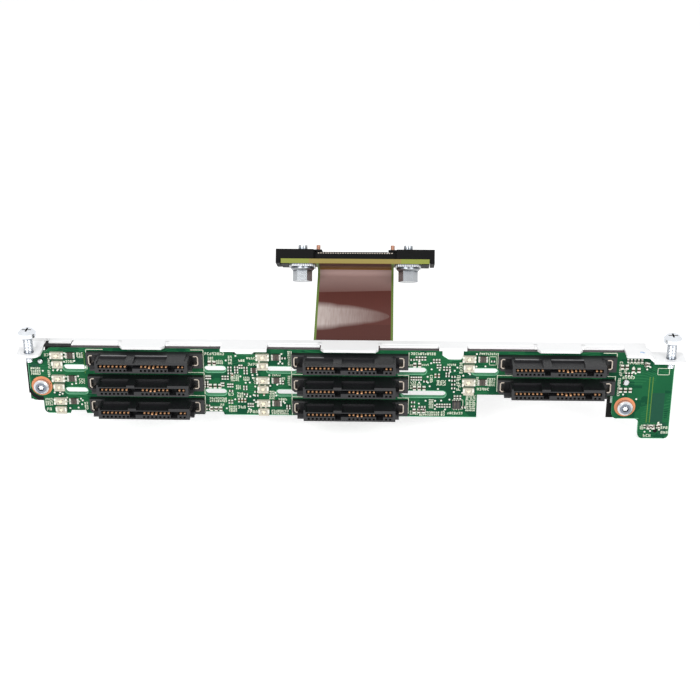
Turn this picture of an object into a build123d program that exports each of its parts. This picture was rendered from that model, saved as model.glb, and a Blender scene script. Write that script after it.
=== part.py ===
from build123d import *
import math
import os

# Drive backplane for eight 1.8 inch drives: a standing circuit board on a folded steel
# bracket, with a flexible circuit that rises behind it to a small connector head.
# Millimetres. +X runs along the board, +Y points to its rear and +Z is up. The origin
# lies midway between the two ear screws, on the underside of the bracket's ears.

# Main circuit board
board_front = 2.6  # from the ear screws' axes back to the board's front face
board_thickness = 1.6
board_left = -100.7
board_right = 101.2
board_top = 1.3
board_drop = 23.05  # top edge to the long bottom edge
right_drop = 15.1  # top edge to the bottom edge of the shallow right part
right_part_x = 40.4
left_corner_drop = 18.5  # top edge to the underside of the left corner
left_corner_x = -96.8
lobe_left = 82.9
lobe_drop = 23.0
leg_left = 91.5
leg_drop = 29.95
ear_relief_drop = 1.7  # how far the top edge steps down under each ear
left_relief_x = -94.9
right_relief_x = 92.2
corner_radius = 1.6

# Vent slots through the board, film and bracket: centre x, height in the row, length
slot_height = 2.2
slot_drop = 4.15  # a slot's centre below the contacts of its row
top_row_slots = ((-86.0, 7.2), (-41.8, 6.8), (-20.9, 9.6), (19.6, 9.6), (42.6, 8.1))
mid_row_slots = ((-86.0, 7.2), (-41.8, 6.8), (-18.9, 7.6), (23.6, 14.0))
slot_film_margin = 0.5
slot_steel_margin = 1.2

# Edge notches in the board
edge_notch_x = 32.55
edge_notch_width = 7.0
edge_notch_depth = 3.3
shallow_notch_x = -32.5
shallow_notch_depth = 2.1
foot_notches = ((-85.9, 4.5), (-42.5, 5.4))
foot_notch_depth = 1.05

# Insulating film between the board and the bracket
film_thickness = 0.3
film_margin = 0.35  # how far the film stays inside the board's outline
film_left_patch = (-101.2, -93.0, -17.6, -12.0)  # x limits, z limits: shows at the left corner
film_right_patch = (81.3, 89.0, -22.1, -14.0)
film_flap = (-95.3, -86.9)  # x limits of the flap over the board's top edge
film_flap_front = 2.7
film_flap_rear = 6.6
film_flap_gap = 0.02
screw_cutout = 3.6
peg_cutout_margin = 0.6

# Folded steel bracket
steel = 0.8
flange_rear = 7.8
flange_strip = 1.1  # width left of the flange beside the film's flap
flange_clearance = 0.1  # between the board's top edge and the flange above it
bend_radius = 0.9
plate_margin = 1.0  # how far the plate stays inside the board's outline
tab_left = (-64.3, 14.0, 1.4)  # centre x, width, reach past the board's front face
tab_middle = (0.45, 17.9, 2.3)
tab_right = (65.55, 13.9, 1.4)
tab_relief = 0.9
finger_clearance = 0.25
finger_tongue = 8.6  # width of the tongue above the right finger
finger_front = 0.4  # how far it reaches past the board's front face
left_finger_tongue = (14.4, 2.4)  # width, reach
solder_window_margin = 1.5
solder_window_rib = 1.2
solder_window_height = 4.2
wing_left = 85.5
wing_right = 92.4
wing_front = -1.8

# Ears, screws and pegs
ear_screw_x = 99.3
ear_front = -2.8
ear_rear = 4.3
left_ear_outer = -103.1
left_ear_inner = -95.6
right_ear_outer = 103.6
right_ear_inner = 93.9
screw_diameter = 3.0
screw_clearance = 0.06
ear_screw_head = 5.6
ear_screw_head_height = 2.1
ear_screw_stand = 5.5  # head's underside above the ear
ear_screw_tip = 2.3  # tip below the ear's underside
pilot_diameter = 2.2  # plain end of the screw, below the ear
pilot_cone = 0.3
cross_recess = (2.9, 0.55, 1.3)  # length, width, depth across the head
pad_diameter = 6.6
pad_thickness = 0.08
board_screw_head = 4.8
board_screw_head_height = 1.7
board_screw_tail = 1.2  # past the bracket plate
board_screw_recess = 2.2
board_screw_places = ((-96.9, -12.15), (86.8, -17.5))
peg_places = ((-96.6, -3.45, 1.6), (86.55, -8.85, 2.0))
peg_reach = 0.9  # past the board's front face
tooling_hole = (96.95, -25.9, 1.2)

# Drive connectors
column_x = (-63.65, 0.53, 64.83)  # middle of the contact row in each column
column_rows = (3, 3, 2)
row_pitch = 8.0
first_row_z = -1.62  # contact row of the top connectors
contact_pitch = 1.27
contact_steps = (0, 1, 2, 3, 4, 5, 6, 10, 11, 12, 13, 14, 15, 16, 19, 20)
contact_width = 0.5
contact_height = 0.34
contact_clearance = 0.03
contact_drop = 0.2  # contact's middle below the middle of its row
contact_tip = 7.2  # contact tip in front of the board
early_contact_tip = 7.95  # tip of the two contacts that mate first
early_contacts = (12, 13)
contact_groups = ((0, 6), (10, 16), (19, 20))
housing_depth = 8.0
housing_top = 1.75  # above the contact row
nose_bottom = 2.0  # below the contact row
nose_width = 28.6
base_bottom = 3.1
base_width = 36.4
base_depth = 1.8
base_corner = 0.85  # cut off the base's lower left corner
mouth_width = 26.8
mouth_top = 0.8
mouth_bottom = 0.42
mouth_depth = 5.4
key_gaps = ((6.45, 7.9), (16.55, 18.25))  # in contact pitches from the first contact
key_reach = 3.2
key_bottom = 1.47
ledge_hole = 0.7
ledge_hole_drop = 1.17
ledge_hole_depth = 1.2
shoulder_width = 1.0  # lowered strip along each side of the top
shoulder_drop = 0.35
shoulder_front = 1.1
top_windows = ((-0.8, 6.1), (8.1, 16.1))  # in contact pitches from the first contact
window_depth = 0.65
window_length = 4.55
pocket_left = 17.6  # outer side of the end pockets, from the connector's middle
pocket_right = 17.0
pocket_top = 1.2
pocket_bottom = 2.3
pocket_depth = 1.4
foot_left = 16.4
foot_right = 15.4
foot_front = 3.8  # ahead of the base
foot_top = 1.05  # below the contact row, as is the foot's underside
foot_bottom = 2.45
foot_slope = 0.9
clip_thickness = 0.35
clip_gap = 0.05
clip_corner = 0.5
clip_left_width = 1.3
clip_right_width = 1.6

# Small parts on the board
led_columns = (-91.35, -26.8, 37.65)
led_body = (4.0, 2.2, 0.9)
led_rise = 0.3  # status light's middle above its contact row
activity_body = (3.3, 2.4, 0.7)
activity_drop = 3.2
array_offset = 4.25
array_body = (2.4, 2.0, 0.6)
array_rise = 0.3
chip_place = (34.0, -17.25)
chip_body = (2.6, 2.3, 0.9)
lead_size = (0.5, 0.3, 0.2)
lead_pitch = 0.65
passive_body = (0.9, 1.5, 0.5)
passive_gap = 2.0  # from a connector's base to the first part beside it
passive_pitch = 1.5
passive_drop = 1.9
lobe_passives = ((88.5, -4.6), (90.2, -4.6), (92.4, -2.6), (94.6, -24.4), (96.2, -24.4), (97.8, -24.0))

# Flexible circuit
flex_width = 25.2
flex_thickness = 0.25
flex_root_bottom = -13.5
flex_leave_z = -3.0
flex_lower_radius = 5.0
flex_fold_radius = 1.7
flex_fold_reach = 3.4  # its fold corner, behind the small board's rear edge
flex_window_margin = 0.9
flex_window_top = 0.55

# Connector head on the flexible circuit
head_x = 1.3
head_front = 34.1
head_height = 17.65
head_tilt = 29.5  # degrees that its mating face leans rearwards
head_board_depth = 9.5
head_board_thickness = 1.5
carrier_height = 3.2
carrier_wall = 1.4
carrier_lip = 0.0  # how far its ends hang below the small board
carrier_ledge_height = 0.6
rail_depth = 1.3
rail_height = 1.6
head_clearance = 0.15
washer_size = 8.4
washer_thickness = 0.8
washer_gap = 0.5  # from the flexible circuit's edge to a washer
washer_corner = 0.9
screw_to_carrier_end = 8.6
screw_to_block = 3.7
screw_to_pin = 5.1
screw_to_ledge = 6.5
socket_depth = 5.2
socket_height = 2.6
groove_width = 2.2
groove_depth = 1.3
groove_end = 0.9
head_contact_pitch = 0.8
head_contact_margin = 1.0
head_contact_body = (0.3, 0.35, 2.2)
hex_across = 5.5
hex_height = 3.5
hex_flange = 7.5
hex_flange_height = 1.1
hex_chamfer = 0.5
head_screw_proud = 1.8
guide_pin_diameter = 1.3
guide_pin_proud = 1.9

# Worked out
board_back = board_front + board_thickness
plate_front = board_back + film_thickness
plate_back = plate_front + steel
flange_bottom = board_top + flange_clearance
flange_top = flange_bottom + steel
main_bottom = board_top - board_drop
right_bottom = board_top - right_drop
half_row = contact_steps[-1] * contact_pitch / 2
head_screw_x = flex_width / 2 + washer_gap + washer_size / 2
carrier_width = 2 * (head_screw_x + screw_to_carrier_end)
head_board_width = carrier_width - 2 * (carrier_wall + 2 * head_clearance)
carrier_block_inner = head_screw_x - screw_to_block
carrier_ledge = head_screw_x - screw_to_ledge
guide_pin_x = head_screw_x - screw_to_pin


def upright(y):
    """A sketch plane at depth y whose own axes run along X and Z."""
    return Plane(origin=(0, y, 0), x_dir=(1, 0, 0), z_dir=(0, -1, 0))


def slab(sketch, front, back):
    """A flat piece between two depths."""
    return extrude(upright(front) * sketch, amount=front - back)


def block(x, y, z):
    """A box between pairs of limits along X, Y and Z, in either order."""
    size = (abs(x[1] - x[0]), abs(y[1] - y[0]), abs(z[1] - z[0]))
    return Pos((x[0] + x[1]) / 2, (y[0] + y[1]) / 2, (z[0] + z[1]) / 2) * Box(*size)


def rod(x, z, diameter, front, back):
    """A round bar along Y between two depths."""
    return slab(Pos(x, z) * Circle(diameter / 2), front, back)


def joined(pieces):
    """One shape from several that touch."""
    return pieces[0] + pieces[1:] if len(pieces) > 1 else pieces[0]


def slots(margin=0.0):
    """The rows of vent slots: round ended, or square and larger by a margin all round."""
    found = []
    for row, places in enumerate((top_row_slots, mid_row_slots)):
        z = first_row_z - row * row_pitch - slot_drop
        for x, length in places:
            if margin:
                shape = Rectangle(length + 2 * margin, slot_height + 2 * margin)
            else:
                shape = SlotOverall(length, slot_height)
            found.append(Pos(x, z) * shape)
    return found


def outline(margin=0.0):
    """The board's outline, or one that stays inside it by a margin."""
    left = board_left + margin
    right = board_right - margin
    top = board_top - margin
    relief = board_top - ear_relief_drop - margin
    foot = main_bottom + margin
    points = [
        (left, relief),
        (left_relief_x + margin, relief),
        (left_relief_x + ear_relief_drop + margin, top),
        (right_relief_x - ear_relief_drop / 2 - margin, top),
        (right_relief_x - margin, relief),
        (right, relief),
        (right, board_top - leg_drop + margin),
        (leg_left + margin, board_top - leg_drop + margin),
        (leg_left + margin, board_top - lobe_drop + margin),
        (lobe_left + margin, board_top - lobe_drop + margin),
        (lobe_left + margin, right_bottom + margin),
        (right_part_x - margin, right_bottom + margin),
        (right_part_x - margin, foot),
        (left_corner_x + margin, foot),
        (left_corner_x + margin, board_top - left_corner_drop + margin),
        (left, board_top - left_corner_drop + margin),
    ]
    face = make_face(Polyline(*points, close=True))
    if margin:
        return face
    rounded = [points[place] for place in (6, 7, 8, 9, 13, 15)]
    corners = [v for v in face.vertices() if any(abs(v.X - x) + abs(v.Y - z) < 0.01 for x, z in rounded)]
    return fillet(corners, corner_radius)


def edge_notches():
    """The notches in the board's top and bottom edges."""
    top = board_top
    cuts = [Pos(edge_notch_x, top) * Rectangle(edge_notch_width, 2 * edge_notch_depth)]
    cuts.append(Pos(shallow_notch_x, top) * Rectangle(edge_notch_width, 2 * shallow_notch_depth))
    for x, width in foot_notches:
        cuts.append(Pos(x, main_bottom) * Trapezoid(width + 1.6, 2 * foot_notch_depth, 70))
    return cuts


def main_board():
    sheet = outline() - edge_notches() - slots()
    for x, z in board_screw_places:
        sheet -= Pos(x, z) * Circle(screw_diameter / 2 + screw_clearance)
    for x, z, diameter in peg_places:
        sheet -= Pos(x, z) * Circle(diameter / 2 + screw_clearance)
    x, z, diameter = tooling_hole
    sheet -= Pos(x, z) * Circle(diameter / 2)
    return slab(sheet, board_front, board_back)


def flex_window():
    """The opening in film and plate that the flexible circuit passes through."""
    width = flex_width + 2 * flex_window_margin
    bottom = flex_root_bottom - flex_window_margin
    height = flex_window_top - bottom
    return Pos(head_x, bottom + height / 2) * Rectangle(width, height)


def solder_windows():
    """Openings in the plate behind the contact tails of each connector."""
    found = []
    width = mouth_width / 2 - solder_window_margin
    for column, middle in enumerate(column_x):
        for row in range(column_rows[column]):
            z = first_row_z - row * row_pitch
            for side in (-1, 1):
                x = middle + side * (width / 2 + solder_window_rib)
                if abs(x - head_x) < flex_width / 2 and z > flex_root_bottom - row_pitch / 2:
                    continue
                found.append(Pos(x, z) * Rectangle(width, solder_window_height))
    return found


def insulator():
    """Black film behind the board, with a flap folded forwards over the top edge."""
    sheet = outline(film_margin)
    for left, right, low, high in (film_left_patch, film_right_patch):
        sheet += Pos((left + right) / 2, (low + high) / 2) * Rectangle(right - left, high - low)
    sheet = sheet - slots(slot_film_margin) - flex_window() - edge_notches()
    for x, z in board_screw_places:
        sheet -= Pos(x, z) * Rectangle(screw_cutout, screw_cutout)
    for x, z, diameter in peg_places:
        sheet -= Pos(x, z) * Rectangle(diameter + peg_cutout_margin, diameter + peg_cutout_margin)
    film = slab(sheet, board_back, plate_front)
    low = board_top + film_flap_gap
    rise = block(film_flap, (board_back, plate_front), (board_top - 2 * film_margin - 2.0, low + film_thickness))
    flap = block(film_flap, (film_flap_front, film_flap_rear), (low, low + film_thickness))
    return film + rise + flap


def flange_section():
    """The bracket's section: the plate rises and bends back into the flange."""
    outer = make_face(
        Polyline(
            (plate_front, flange_bottom - 3.0),
            (plate_front, flange_top),
            (flange_rear, flange_top),
            (flange_rear, flange_bottom),
            (plate_back, flange_bottom),
            (plate_back, flange_bottom - 3.0),
            close=True,
        )
    )
    corners = outer.vertices().sort_by_distance((plate_front, flange_top, 0))
    return fillet(corners[0], bend_radius)


def tab(middle, width, reach):
    """A tongue of the flange that lies over the board's top edge."""
    front = board_front - reach
    back = plate_front + bend_radius
    points = [
        (middle - width / 2, back),
        (middle - width / 2, front + 1.3),
        (middle - width / 2 + 0.9, front),
        (middle + width / 2 - 0.9, front),
        (middle + width / 2, front + 1.3),
        (middle + width / 2, back),
    ]
    return Pos(0, 0, flange_bottom) * extrude(make_face(Polyline(*points, close=True)), steel)


def finger(x, width, depth, reach):
    """A tongue over the board with a finger that drops into a notch of its edge."""
    front = board_front - reach
    tongue = block((x - width / 2, x + width / 2), (front, plate_front + bend_radius), (flange_bottom, flange_top))
    drop = edge_notch_width - 2 * finger_clearance
    bottom = board_top - depth + finger_clearance
    face = Pos(x, (bottom + flange_top) / 2) * Rectangle(drop, flange_top - bottom)
    face = chamfer(face.vertices().sort_by(Axis.Y)[:2], min(0.8, (flange_bottom - bottom) * 0.6))
    return tongue + slab(face, board_front + 0.3, board_front + 0.3 + steel)


def left_ear():
    """The left ear lies lower than the flange, behind a slanted step."""
    flat = Pos((left_ear_outer + left_ear_inner) / 2, (ear_front + ear_rear) / 2) * Rectangle(
        left_ear_inner - left_ear_outer, ear_rear - ear_front
    )
    flat = fillet(flat.vertices().sort_by(Axis.Y)[:2], 2.4)
    low = extrude(flat, steel)
    profile = make_face(
        Polyline(
            (ear_rear, 0),
            (ear_rear + 1.2, flange_bottom),
            (flange_rear, flange_bottom),
            (flange_rear, flange_top),
            (ear_rear + 1.2 - 0.3, flange_top),
            (ear_rear - 0.3, steel),
            (ear_rear - 0.3, 0),
            close=True,
        )
    )
    step = extrude(Plane.YZ.offset(left_ear_outer) * profile, left_ear_inner - left_ear_outer)
    return low + step


def right_ear():
    """The right ear lies lower than the flange, beyond a slanted step."""
    ear = block((right_ear_inner, right_ear_outer), (ear_front - 0.2, ear_rear), (0, steel))
    ear = fillet(ear.edges().filter_by(Axis.Z).sort_by(Axis.X)[2:], 0.8)
    wing = block((wing_left, wing_right), (wing_front, flange_rear), (flange_bottom, flange_top))
    wing = fillet(wing.edges().filter_by(Axis.Z).sort_by(Axis.X)[:1], 0.6)
    lean = 0.3
    profile = make_face(
        Polyline(
            (wing_right, flange_bottom),
            (wing_right, flange_top),
            (wing_right + lean, flange_top),
            (right_ear_inner + lean, steel),
            (right_ear_inner + lean, 0),
            (right_ear_inner, 0),
            close=True,
        )
    )
    step = extrude(Plane.XZ.offset(-wing_front) * profile, -(ear_rear - wing_front))
    return wing + step + ear


def bracket_plate():
    """The upright plate behind the film."""
    sheet = outline(plate_margin) - slots(slot_steel_margin) - flex_window() - solder_windows()
    for x, z in board_screw_places:
        sheet -= Pos(x, z) * Circle(screw_diameter / 2 + screw_clearance)
    for x, z, diameter in peg_places:
        sheet -= Pos(x, z) * Circle(diameter / 2 + screw_clearance)
    return slab(sheet, plate_front, plate_back)


def bracket():
    run = Plane.YZ.offset(left_relief_x + 8.6) * flange_section()
    strip = extrude(run, wing_left + 1.0 - (left_relief_x + 8.6))
    whole = bracket_plate() + strip
    whole -= slab(flex_window(), plate_front - 1, plate_back + 1)
    for centre, width, reach in (tab_left, tab_middle, tab_right):
        for side in (-1, 1):
            edge = centre + side * (width / 2 + tab_relief / 2)
            whole -= block(
                (edge - tab_relief / 2, edge + tab_relief / 2),
                (plate_front - 1, plate_front + bend_radius + 0.4),
                (flange_bottom - 1.0, flange_top + 1),
            )
        whole += tab(centre, width, reach)
    whole += finger(edge_notch_x, finger_tongue, edge_notch_depth, finger_front)
    whole += finger(shallow_notch_x, left_finger_tongue[0], shallow_notch_depth, left_finger_tongue[1])
    whole -= block(
        (left_relief_x, left_relief_x + 8.6),
        (plate_front - 1, flange_rear - flange_strip),
        (board_top - 1.4, flange_top + 1),
    )
    strip_left = (left_ear_inner - 0.01, left_relief_x + 8.7)
    whole += block(strip_left, (flange_rear - flange_strip, flange_rear), (flange_bottom, flange_top))
    whole += left_ear() + right_ear()
    for side in (-1, 1):
        hole = Cylinder(screw_diameter / 2 + screw_clearance, 4 * steel)
        whole -= Pos(side * ear_screw_x, 0, steel / 2) * hole
    return whole


def upward(radius, low, high):
    """A round bar along Z between two heights."""
    return Pos(0, 0, (low + high) / 2) * Cylinder(radius, high - low)


def ear_screw(side):
    """Pan head machine screw with a plain pilot end, turned part way into its ear."""
    seat = steel + ear_screw_stand
    top = seat + ear_screw_head_height
    shank = upward(screw_diameter / 2, pilot_cone, seat)
    cone_radii = (pilot_diameter / 2, screw_diameter / 2)
    cone = Pos(0, 0, pilot_cone / 2) * Cone(*cone_radii, pilot_cone)
    pilot = upward(pilot_diameter / 2, -ear_screw_tip, 0)
    head = chamfer(upward(ear_screw_head / 2, seat, top).edges().sort_by(Axis.Z)[-1], 0.8)
    length, width, depth = cross_recess
    cross = Box(length, width, 2 * depth) + Box(width, length, 2 * depth)
    head -= Pos(0, 0, top) * cross
    return Pos(side * ear_screw_x, 0, 0) * (shank + cone + pilot + head)


def board_screw(x, z):
    """Pan head screw with a hexagon recess, holding the board to the bracket."""
    seat = board_front - pad_thickness
    front = seat - board_screw_head_height
    head = rod(x, z, board_screw_head, front, seat)
    head = chamfer(head.edges().sort_by(Axis.Y)[0], 0.5)
    head -= slab(Pos(x, z) * RegularPolygon(board_screw_recess / 2, 6), front - 0.1, front + 0.9)
    return head + rod(x, z, screw_diameter, seat - 0.01, plate_back + board_screw_tail)


def ground_pad(x, z):
    ring = Circle(pad_diameter / 2) - Circle(screw_diameter / 2 + screw_clearance)
    return slab(Pos(x, z) * ring, board_front - pad_thickness, board_front)


def peg(x, z, diameter):
    """Locating peg pressed into the plate and standing through the board."""
    pin = rod(x, z, diameter, board_front - peg_reach, plate_back)
    return chamfer(pin.edges().sort_by(Axis.Y)[0], 0.3)


def contact_xs():
    return [step * contact_pitch - half_row for step in contact_steps]


def contact_span(x, steps):
    """Limits along X between two places counted in contact pitches."""
    return (x - half_row + steps[0] * contact_pitch, x - half_row + steps[1] * contact_pitch)


def housing_body(x, z):
    """Base, nose and end feet of a receptacle, without its openings."""
    back = board_front
    front = back - housing_depth
    base_front = back - base_depth
    top = z + housing_top
    base = block((x - base_width / 2, x + base_width / 2), (base_front, back), (z - base_bottom, top))
    corners = base.edges().filter_by(Axis.Y).sort_by(Axis.Z)[:2].sort_by(Axis.X)
    base = chamfer(corners[0], base_corner)
    nose = block((x - nose_width / 2, x + nose_width / 2), (front, back), (z - nose_bottom, top))
    shape = base + nose
    for side, reach in ((-1, foot_left), (1, foot_right)):
        limits_x = (x + side * nose_width / 2, x + side * reach)
        foot = block(limits_x, (base_front - foot_front, base_front), (z - foot_bottom, z - foot_top))
        edge = foot.edges().filter_by(Axis.X).sort_by(Axis.Y)[:2].sort_by(Axis.Z)[-1]
        shape += chamfer(edge, foot_slope)
        outer = x + side * nose_width / 2
        inner = x + side * (nose_width / 2 - shoulder_width)
        shape -= block((inner, outer), (front + shoulder_front, base_front), (top - shoulder_drop, top + 1))
    return shape


def housing(x, z):
    """Receptacle with a tongue slot, contact channels, ledge holes, keys and windows."""
    front = board_front - housing_depth
    base_front = board_front - base_depth
    top = z + housing_top
    shape = housing_body(x, z)
    mouth_z = (z - mouth_bottom, z + mouth_top)
    shape -= block((x - mouth_width / 2, x + mouth_width / 2), (front - 1, front + mouth_depth), mouth_z)
    for gap in key_gaps:
        shape -= block(contact_span(x, gap), (front - 1, front + key_reach), (z - key_bottom, z + mouth_top))
    margin = contact_width / 2 + contact_clearance
    low = z - contact_drop - contact_height / 2 - contact_clearance
    high = z - contact_drop + contact_height / 2 + contact_clearance
    holes = []
    for group in contact_groups:
        left, right = contact_span(x, group)
        holes.append(block((left - margin, right + margin), (front + mouth_depth - 0.1, board_front + 1), (low, high)))
    hole_z = (z - ledge_hole_drop - ledge_hole / 2, z - ledge_hole_drop + ledge_hole / 2)
    for offset in contact_xs():
        hole_x = (x + offset - ledge_hole / 2, x + offset + ledge_hole / 2)
        holes.append(block(hole_x, (front - 1, front + ledge_hole_depth), hole_z))
    for window in top_windows:
        holes.append(block(contact_span(x, window), (front - 1, front + window_length), (top - window_depth, top + 1)))
    for side, outer in ((-1, pocket_left), (1, pocket_right)):
        pocket_x = (x + side * nose_width / 2, x + side * outer)
        pocket_z = (z - pocket_bottom, z + pocket_top)
        holes.append(block(pocket_x, (base_front - 1, base_front + pocket_depth), pocket_z))
    for hole in holes:
        shape -= hole
    return shape


def contacts(x, z):
    """Sixteen contact blades, from solder tail to tip."""
    blades = []
    for step in contact_steps:
        at = x - half_row + step * contact_pitch
        tip = early_contact_tip if step in early_contacts else contact_tip
        width = (at - contact_width / 2, at + contact_width / 2)
        middle = z - contact_drop
        height = (middle - contact_height / 2, middle + contact_height / 2)
        blades.append(block(width, (board_front - tip, board_front), height))
    return blades


def clips(x, z):
    """The two hold down clips, each bent to a C and seated in an end pocket."""
    found = []
    front = board_front - base_depth
    high = z + pocket_top - clip_gap
    low = z - pocket_bottom + clip_gap
    for side, pocket, width in ((-1, pocket_left, clip_left_width), (1, pocket_right, clip_right_width)):
        outer = x + side * (pocket - clip_gap)
        cut = clip_corner * side
        inside = outer - side * clip_thickness
        end = outer - side * width
        points = [
            (end, high),
            (outer - cut, high),
            (outer, high - clip_corner),
            (outer, low + clip_corner),
            (outer - cut, low),
            (end, low),
            (end, low + clip_thickness),
            (inside - cut / 2, low + clip_thickness),
            (inside, low + clip_thickness + clip_corner / 2),
            (inside, high - clip_thickness - clip_corner / 2),
            (inside - cut / 2, high - clip_thickness),
            (end, high - clip_thickness),
        ]
        found.append(slab(make_face(Polyline(*points, close=True)), front, front + pocket_depth))
    return found


def connector_places():
    places = []
    for column, x in enumerate(column_x):
        for row in range(column_rows[column]):
            places.append((x, first_row_z - row * row_pitch))
    return places


def on_board(x, z, size):
    """A small part standing on the board's front face."""
    width, height, rise = size
    limits_x = (x - width / 2, x + width / 2)
    return block(limits_x, (board_front - rise, board_front), (z - height / 2, z + height / 2))


def leds(drop, size):
    found = []
    for column, x in enumerate(led_columns):
        for row in range(column_rows[column]):
            found.append(on_board(x, first_row_z + led_rise - row * row_pitch - drop, size))
    return found


def resistor_arrays():
    found = []
    for column, x in enumerate(led_columns):
        for row in range(column_rows[column]):
            z = first_row_z + array_rise - row * row_pitch
            found.append(on_board(x + array_offset, z, array_body))
    return found


def driver_chip():
    x, z = chip_place
    shape = on_board(x, z, chip_body)
    for lead in range(4):
        at = x + (lead - 1.5) * lead_pitch
        for side in (-1, 1):
            edge = z + side * (chip_body[1] / 2 + lead_size[1] / 2)
            shape += on_board(at, edge, (lead_size[2] + 0.1, lead_size[1] + 0.02, lead_size[0]))
    return shape


def passives():
    """Small capacitors and resistors beside the connectors."""
    found = []
    for x, z in connector_places():
        right = x + base_width / 2 + passive_gap
        for step in range(3):
            if z == first_row_z and step == 2:
                continue
            found.append(on_board(right + step * passive_pitch, z - passive_drop, passive_body))
    for x, z in lobe_passives:
        found.append(on_board(x, z, passive_body))
    return found


def head_plane(x=0.0, y=0.0, z=0.0):
    """The head's own plane: its x along X, its y rearwards, its z out of the mating face."""
    tilt = math.radians(head_tilt)
    base = Plane(
        origin=(head_x, head_front, head_height),
        x_dir=(1, 0, 0),
        z_dir=(0, math.sin(tilt), math.cos(tilt)),
    )
    return base.location * Pos(x, y, z)


def head_point(y, z):
    """World Y and Z of a point in the head's middle plane."""
    tilt = math.radians(head_tilt)
    return (
        head_front + y * math.cos(tilt) + z * math.sin(tilt),
        head_height - y * math.sin(tilt) + z * math.cos(tilt),
    )


def head_board():
    middle = head_board_depth / 2
    shape = block((-head_board_width / 2, head_board_width / 2), (0, head_board_depth), (0, head_board_thickness))
    for side in (-1, 1):
        hole = Cylinder(screw_diameter / 2 + screw_clearance, 4 * head_board_thickness)
        shape -= Pos(side * head_screw_x, middle, 0) * hole
    return head_plane() * shape


def head_carrier():
    """Black carrier: two end blocks with turned down ends, joined by a rear rail."""
    bottom = head_board_thickness
    top = bottom + carrier_height
    middle = head_board_depth / 2
    half = carrier_width / 2
    depth = (0, head_board_depth)
    shape = block((-half, half), (head_board_depth - rail_depth, head_board_depth), (bottom, bottom + rail_height))
    for side in (-1, 1):
        inner = side * carrier_block_inner
        outer = side * half
        wall = side * (half - carrier_wall)
        ledge = side * carrier_ledge
        shape += block((inner, outer), depth, (bottom, top))
        shape += block((wall, outer), depth, (-carrier_lip, top))
        shape += block((ledge, inner), (depth[0] + 1, depth[1]), (top - carrier_ledge_height, top))
        screw = Cylinder(screw_diameter / 2 + screw_clearance, 12)
        shape -= Pos(side * head_screw_x, middle, top) * screw
    return head_plane() * shape


def head_socket():
    """Low mezzanine receptacle with one long groove."""
    middle = head_board_depth / 2
    bottom = head_board_thickness
    half = carrier_ledge - head_clearance
    limits_y = (middle - socket_depth / 2, middle + socket_depth / 2)
    body = block((-half, half), limits_y, (bottom, bottom + socket_height))
    groove_y = (middle - groove_width / 2, middle + groove_width / 2)
    groove_z = (bottom + socket_height - groove_depth, bottom + socket_height + 1)
    body -= block((groove_end - half, half - groove_end), groove_y, groove_z)
    return head_plane() * body


def head_contacts():
    """Two rows of fine contacts against the socket's outer walls."""
    found = []
    width, depth, height = head_contact_body
    middle = head_board_depth / 2
    bottom = head_board_thickness
    room = 2 * (carrier_ledge - head_clearance - head_contact_margin)
    count = int(room // head_contact_pitch) + 1
    for step in range(count):
        x = (step - (count - 1) / 2) * head_contact_pitch
        for side in (-1, 1):
            near = middle + side * socket_depth / 2
            limits_x = (x - width / 2, x + width / 2)
            found.append(head_plane() * block(limits_x, (near, near + side * depth), (bottom, bottom + height)))
    return found


def head_screw(side):
    """Hex screw with a flange, driven from the board's flex side through the carrier."""
    seat = -washer_thickness
    under = seat - hex_flange_height
    top = head_board_thickness + carrier_height + head_screw_proud
    flange = upward(hex_flange / 2, under, seat)
    flange = chamfer(flange.edges().sort_by(Axis.Z)[0], hex_chamfer)
    hexagon = extrude(RegularPolygon(hex_across / 2, 6, major_radius=False), -hex_height)
    shank = upward(screw_diameter / 2, seat, top)
    return head_plane(side * head_screw_x, head_board_depth / 2) * (flange + Pos(0, 0, under) * hexagon + shank)


def head_washer(side):
    plate = Pos(0, 0, -washer_thickness / 2) * Box(washer_size, washer_size, washer_thickness)
    plate = chamfer(plate.edges().filter_by(Axis.Z), washer_corner)
    plate -= Cylinder(screw_diameter / 2 + screw_clearance, 4)
    return head_plane(side * head_screw_x, head_board_depth / 2) * plate


def guide_pin(side):
    """Brass pin standing on the carrier."""
    low = head_board_thickness + carrier_height
    pin = upward(guide_pin_diameter / 2, low, low + guide_pin_proud)
    return head_plane(side * guide_pin_x, head_board_depth / 2) * pin


def flex():
    """Flexible circuit: bonded up the board's back, rising, then folded under the head."""
    root_y = board_back + flex_thickness / 2
    under = -flex_thickness / 2
    points = [
        (root_y, flex_root_bottom),
        (root_y, flex_leave_z),
        head_point(head_board_depth + flex_fold_reach, under),
        head_point(0.3, under),
    ]
    path = FilletPolyline(*points, radius=[flex_lower_radius, flex_fold_radius])
    side = Plane.YZ.offset(head_x)
    line = side * path
    start = Plane(origin=(head_x, root_y, flex_root_bottom), x_dir=(1, 0, 0), z_dir=(0, 0, 1))
    return sweep(start * Rectangle(flex_width, flex_thickness), path=line)


def save(name, shape):
    if isinstance(shape, (list, tuple)):
        shape = Compound(children=list(shape))
    export_step(shape, f"parts/{name}.step")


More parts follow.
